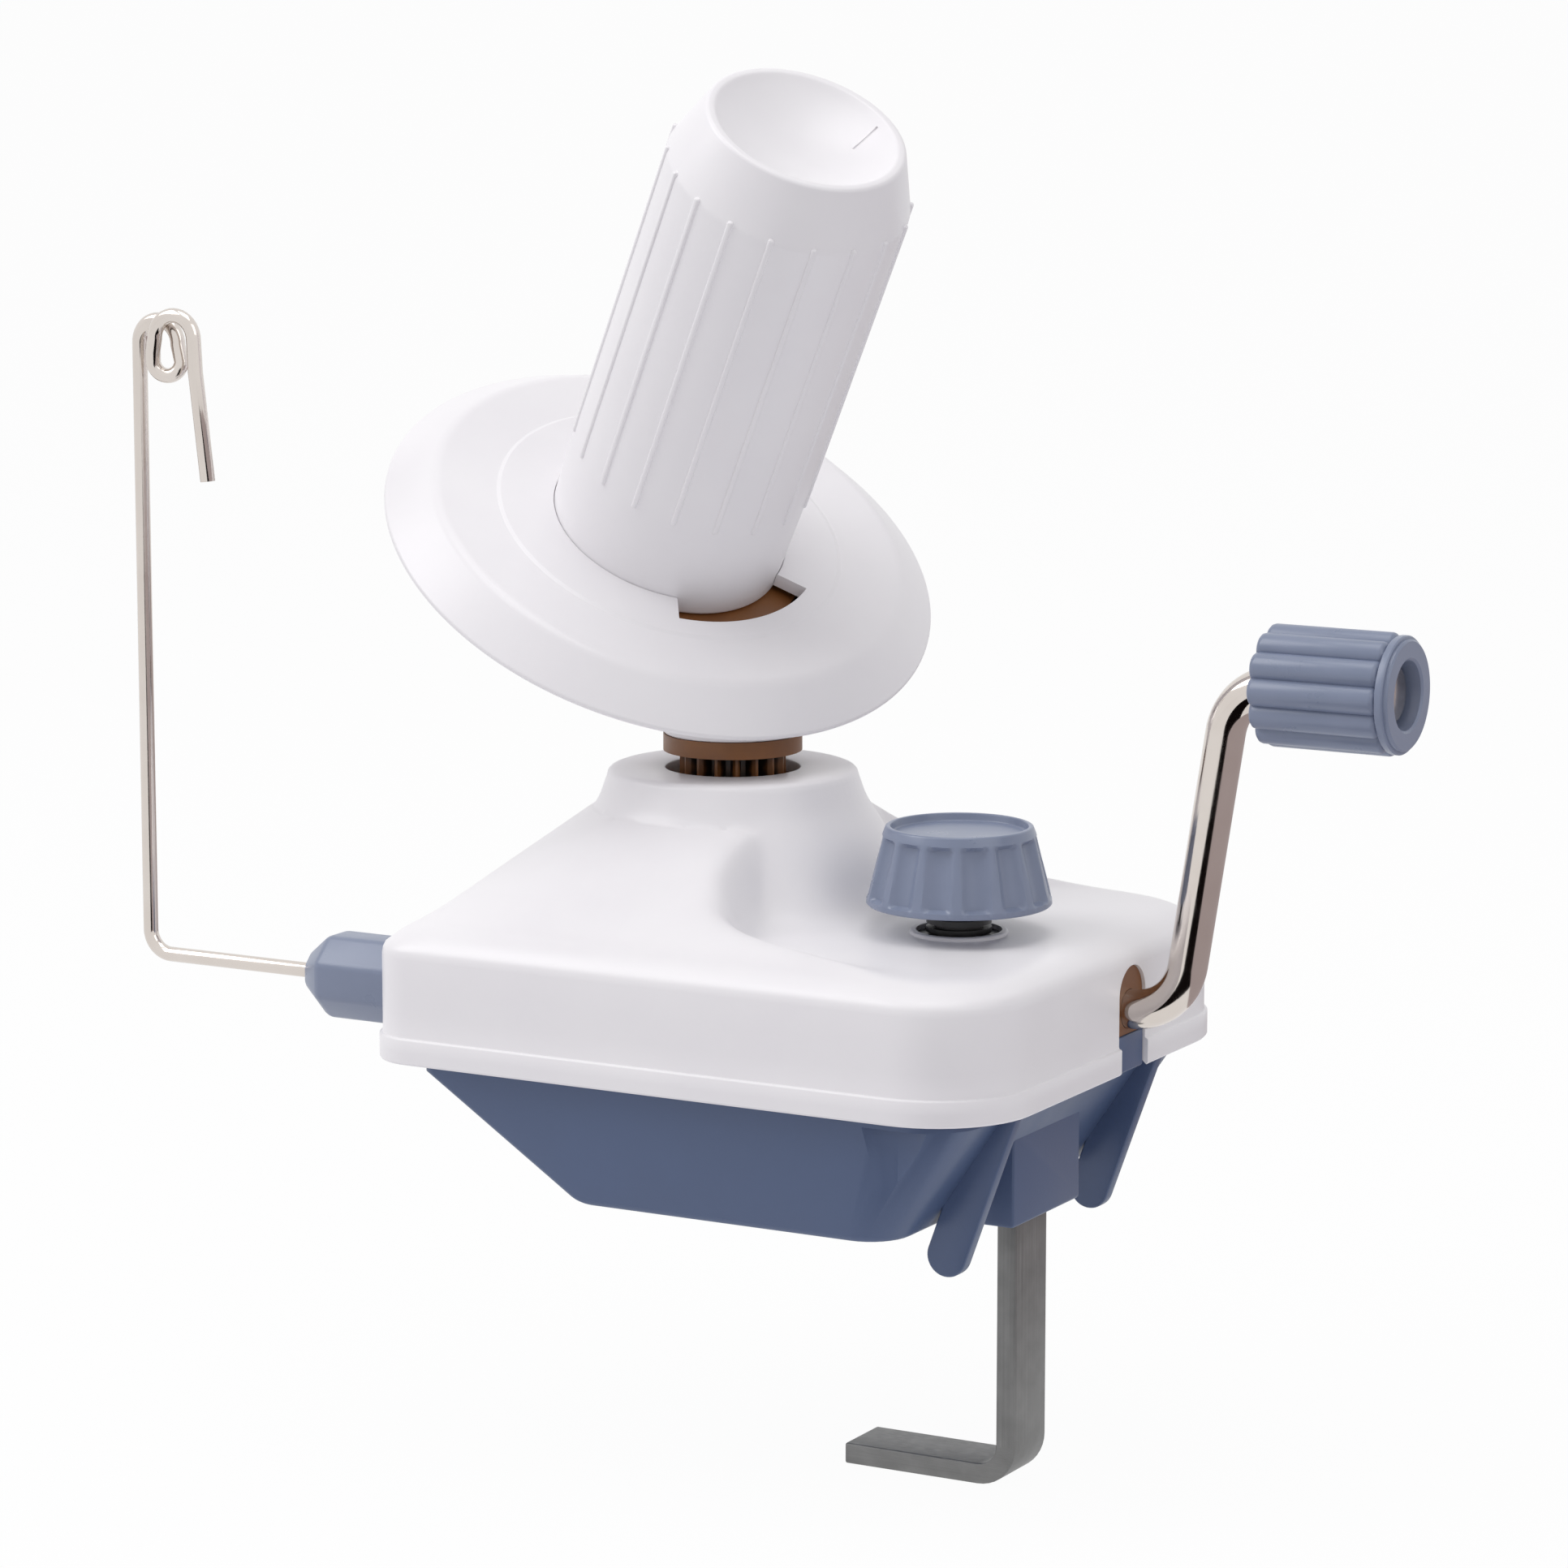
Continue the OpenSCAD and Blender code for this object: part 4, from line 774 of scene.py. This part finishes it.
def guide_holder():
    """Pale slate socket: an eight-sided block with softened corners, tapering to the wire."""
    sides, half_flat, tip_half, tip_length = 8, 8.6, 4.1, 5.8
    neck_r, neck_gap = 6.8, 1.2
    corner = 1 / math.cos(math.pi / sides)
    length = HOLDER_HIGH.x - HOLDER_LOW.x
    drop_selection()
    bpy.ops.mesh.primitive_circle_add(vertices=sides, radius=half_flat * corner * MM, fill_type="NGON")
    flat_up = Matrix.Rotation(math.pi / sides, 4, "Z")
    piece = settle(bpy.context.object, Matrix.Translation((0, 0, neck_gap * MM)) @ flat_up)
    edit(piece, "FACE")
    for rise in (length - neck_gap - tip_length, tip_length):
        bpy.ops.mesh.extrude_region_move(TRANSFORM_OT_translate={"value": (0, 0, rise * MM)})
    bpy.ops.transform.resize(value=(tip_half / half_flat, tip_half / half_flat, 1))
    close_up(piece)
    soften(piece, 0.9, 4, 20)
    carve(piece, rod((0, 0, 0), (0, 0, 2.2), neck_r), "UNION")
    carve(piece, rod((0, 0, 11), (0, 0, length + 5), WIRE_R + 0.05, 32))
    wall = Matrix.Translation(Vector((HOLDER_HIGH.x, GUIDE_Y, GUIDE_Z)) * MM)
    dress(settle(piece, wall @ Matrix.Rotation(-math.pi / 2, 4, "Y")), "guide_holder", 30)


def guide_wire():
    """Bent steel wire: from its socket out and up, with a closed eye and a hooked end at the top."""
    foot_x = WIRE_LOW.x + WIRE_R
    top = 128.4
    eye = [*arc((5, top), 5, 180, 0, 20, (0, -0.6)), *arc((8.3, top - 3.5), 2.75, 0, -180, 20, (-0.9, -3.1)),
           (5.9, -3.6, top - 1), *arc((11.5, top + 1.6), 4.85, 180, 0, 20, (-4, -4.1)),
           (16.7, -4.1, top - 5), (19.3, -4.1, top - 27.3)]
    foot = arc((WIRE_BEND, WIRE_BEND), WIRE_BEND, 270, 180, 12)
    socket = (WIRE_HIGH.x - foot_x, 0, 0)
    path = [(foot_x + x, GUIDE_Y + y, GUIDE_Z + z) for x, y, z in [socket, *foot, (0, 0, top - 4), *eye]]
    dress(soften(drawn_wire(path, WIRE_R, 8), 0.25, 2, 60), "guide_wire", 50)


for node, piece in frame["nodes"].items():
    piece.data.materials.clear()
    piece.data.materials.append(FINISHES[SLOTS[node]])

top_housing()
bottom_tray()
winding_disc()
spindle_shell()
crank_rod()
crank_grip()
clamp_knob()
clamp_bracket()
guide_holder()
guide_wire()


# Studio

CAMERA_AZIMUTH, CAMERA_ELEVATION = 29, 9.8
CAMERA_PLACE = Vector((571.635, -1009.417, 276.942)) * MM
FRAME_PIXELS, FOCAL_PIXELS = 1932, 7000
MIDDLE = Vector((9.6, 4.6, 76.7)) * MM
LAMP_DISTANCE, LAMP_SIZE = 1.3, 0.8


def camera():
    """Long lens at the photograph's viewing angle."""
    a, e = math.radians(CAMERA_AZIMUTH), math.radians(CAMERA_ELEVATION)
    back = Vector((math.sin(a) * math.cos(e), -math.cos(a) * math.cos(e), math.sin(e)))
    bpy.ops.object.camera_add(location=CAMERA_PLACE)
    made = bpy.context.object
    made.rotation_mode = "QUATERNION"
    made.rotation_quaternion = (-back).to_track_quat("-Z", "Y")
    made.data.sensor_width = 36
    made.data.lens = made.data.sensor_width * FOCAL_PIXELS / FRAME_PIXELS
    bpy.context.scene.camera = made


def around_object(azimuth, elevation, distance):
    """A place round the object: azimuth 0 is in front, and positive to the camera's right."""
    a, e = math.radians(CAMERA_AZIMUTH + azimuth), math.radians(elevation)
    return MIDDLE + Vector((math.sin(a) * math.cos(e), -math.cos(a) * math.cos(e), math.sin(e))) * distance


def softbox(name, azimuth, elevation, power):
    """A large soft lamp aimed at the object."""
    place = around_object(azimuth, elevation, LAMP_DISTANCE)
    bpy.ops.object.light_add(type="AREA", location=place)
    lamp = bpy.context.object
    lamp.name = name
    lamp.rotation_mode = "QUATERNION"
    lamp.rotation_quaternion = (MIDDLE - place).to_track_quat("-Z", "Y")
    lamp.data.size = LAMP_SIZE
    lamp.data.energy = power


def cloth(name, right, towards, colour):
    """A cloth on the floor that only reflections see: it draws dark lines on bright metal.

    Its reach to the right and towards the camera is in metres from the object's middle.
    """
    a = math.radians(CAMERA_AZIMUTH)
    across, near = Vector((math.cos(a), math.sin(a), 0)), Vector((math.sin(a), -math.cos(a), 0))
    place = MIDDLE + across * sum(right) / 2 + near * sum(towards) / 2
    place.z = cad_box[0].z + MM
    drop_selection()
    bpy.ops.mesh.primitive_plane_add(size=1, location=place)
    sheet = bpy.context.object
    sheet.name = name
    sheet.rotation_euler.z = a
    sheet.scale = (right[1] - right[0], towards[1] - towards[0], 1)
    material = bpy.data.materials.new(name)
    material.use_nodes = True
    tree = material.node_tree
    tree.nodes.clear()
    tone = add_node(tree, "ShaderNodeEmission", {"Color": linear(colour)})
    add_node(tree, "ShaderNodeOutputMaterial", {"Surface": tone.outputs[0]})
    sheet.data.materials.append(material)
    sheet.visible_camera = False
    sheet.visible_diffuse = False
    sheet.visible_shadow = False


def seen_directly(tree):
    """1 for camera, glossy and transmission rays, which see the white background."""
    ray = add_node(tree, "ShaderNodeLightPath").outputs
    mirrored = add_node(tree, "ShaderNodeMath", {0: ray["Is Glossy Ray"], 1: ray["Is Transmission Ray"]},
                        operation="MAXIMUM")
    return add_node(tree, "ShaderNodeMath", {0: ray["Is Camera Ray"], 1: mirrored.outputs[0]},
                    operation="MAXIMUM").outputs[0]


def world_light(level):
    """Even soft light from all round, white where it is seen."""
    world = bpy.data.worlds.new("studio")
    bpy.context.scene.world = world
    world.use_nodes = True
    tree = world.node_tree
    tree.nodes.clear()
    soft = add_node(tree, "ShaderNodeBackground", {"Color": linear("FAF7FB"), "Strength": level})
    white = add_node(tree, "ShaderNodeBackground", {"Color": (1, 1, 1, 1), "Strength": 1.0})
    mix = add_node(tree, "ShaderNodeMixShader",
                   {0: seen_directly(tree), 1: soft.outputs[0], 2: white.outputs[0]})
    add_node(tree, "ShaderNodeOutputWorld", {"Surface": mix.outputs[0]})


def pale_floor():
    """White floor under the clamp's foot that keeps a faint shadow."""
    drop_selection()
    bpy.ops.mesh.primitive_plane_add(size=40, location=(0, 0, cad_box[0].z))
    floor = bpy.context.object
    floor.name = "floor"
    material = bpy.data.materials.new("white_paper")
    material.use_nodes = True
    tree = material.node_tree
    tree.nodes.clear()
    paper = add_node(tree, "ShaderNodeBsdfDiffuse", {"Color": linear("F0F0F2")})
    white = add_node(tree, "ShaderNodeEmission", {"Color": (1, 1, 1, 1), "Strength": 1.0})
    share = add_node(tree, "ShaderNodeMath", {0: seen_directly(tree), 1: 0.96}, operation="MULTIPLY")
    mix = add_node(tree, "ShaderNodeMixShader",
                   {0: share.outputs[0], 1: paper.outputs[0], 2: white.outputs[0]})
    add_node(tree, "ShaderNodeOutputMaterial", {"Surface": mix.outputs[0]})
    floor.data.materials.append(material)


camera()
world_light(0.48)
pale_floor()
softbox("key_left", -85, 45, 6.4)
softbox("fill_right", 45, 35, 1.8)
softbox("overhead", 0, 86, 4.0)
cloth("black_cloth", (-0.1, 0.15), (0.15, 1.7), "120E0E")
cloth("grey_cloth", (0.15, 1.7), (-0.9, 1.7), "B4A9AA")

bpy.context.scene.view_settings.view_transform = "Standard"
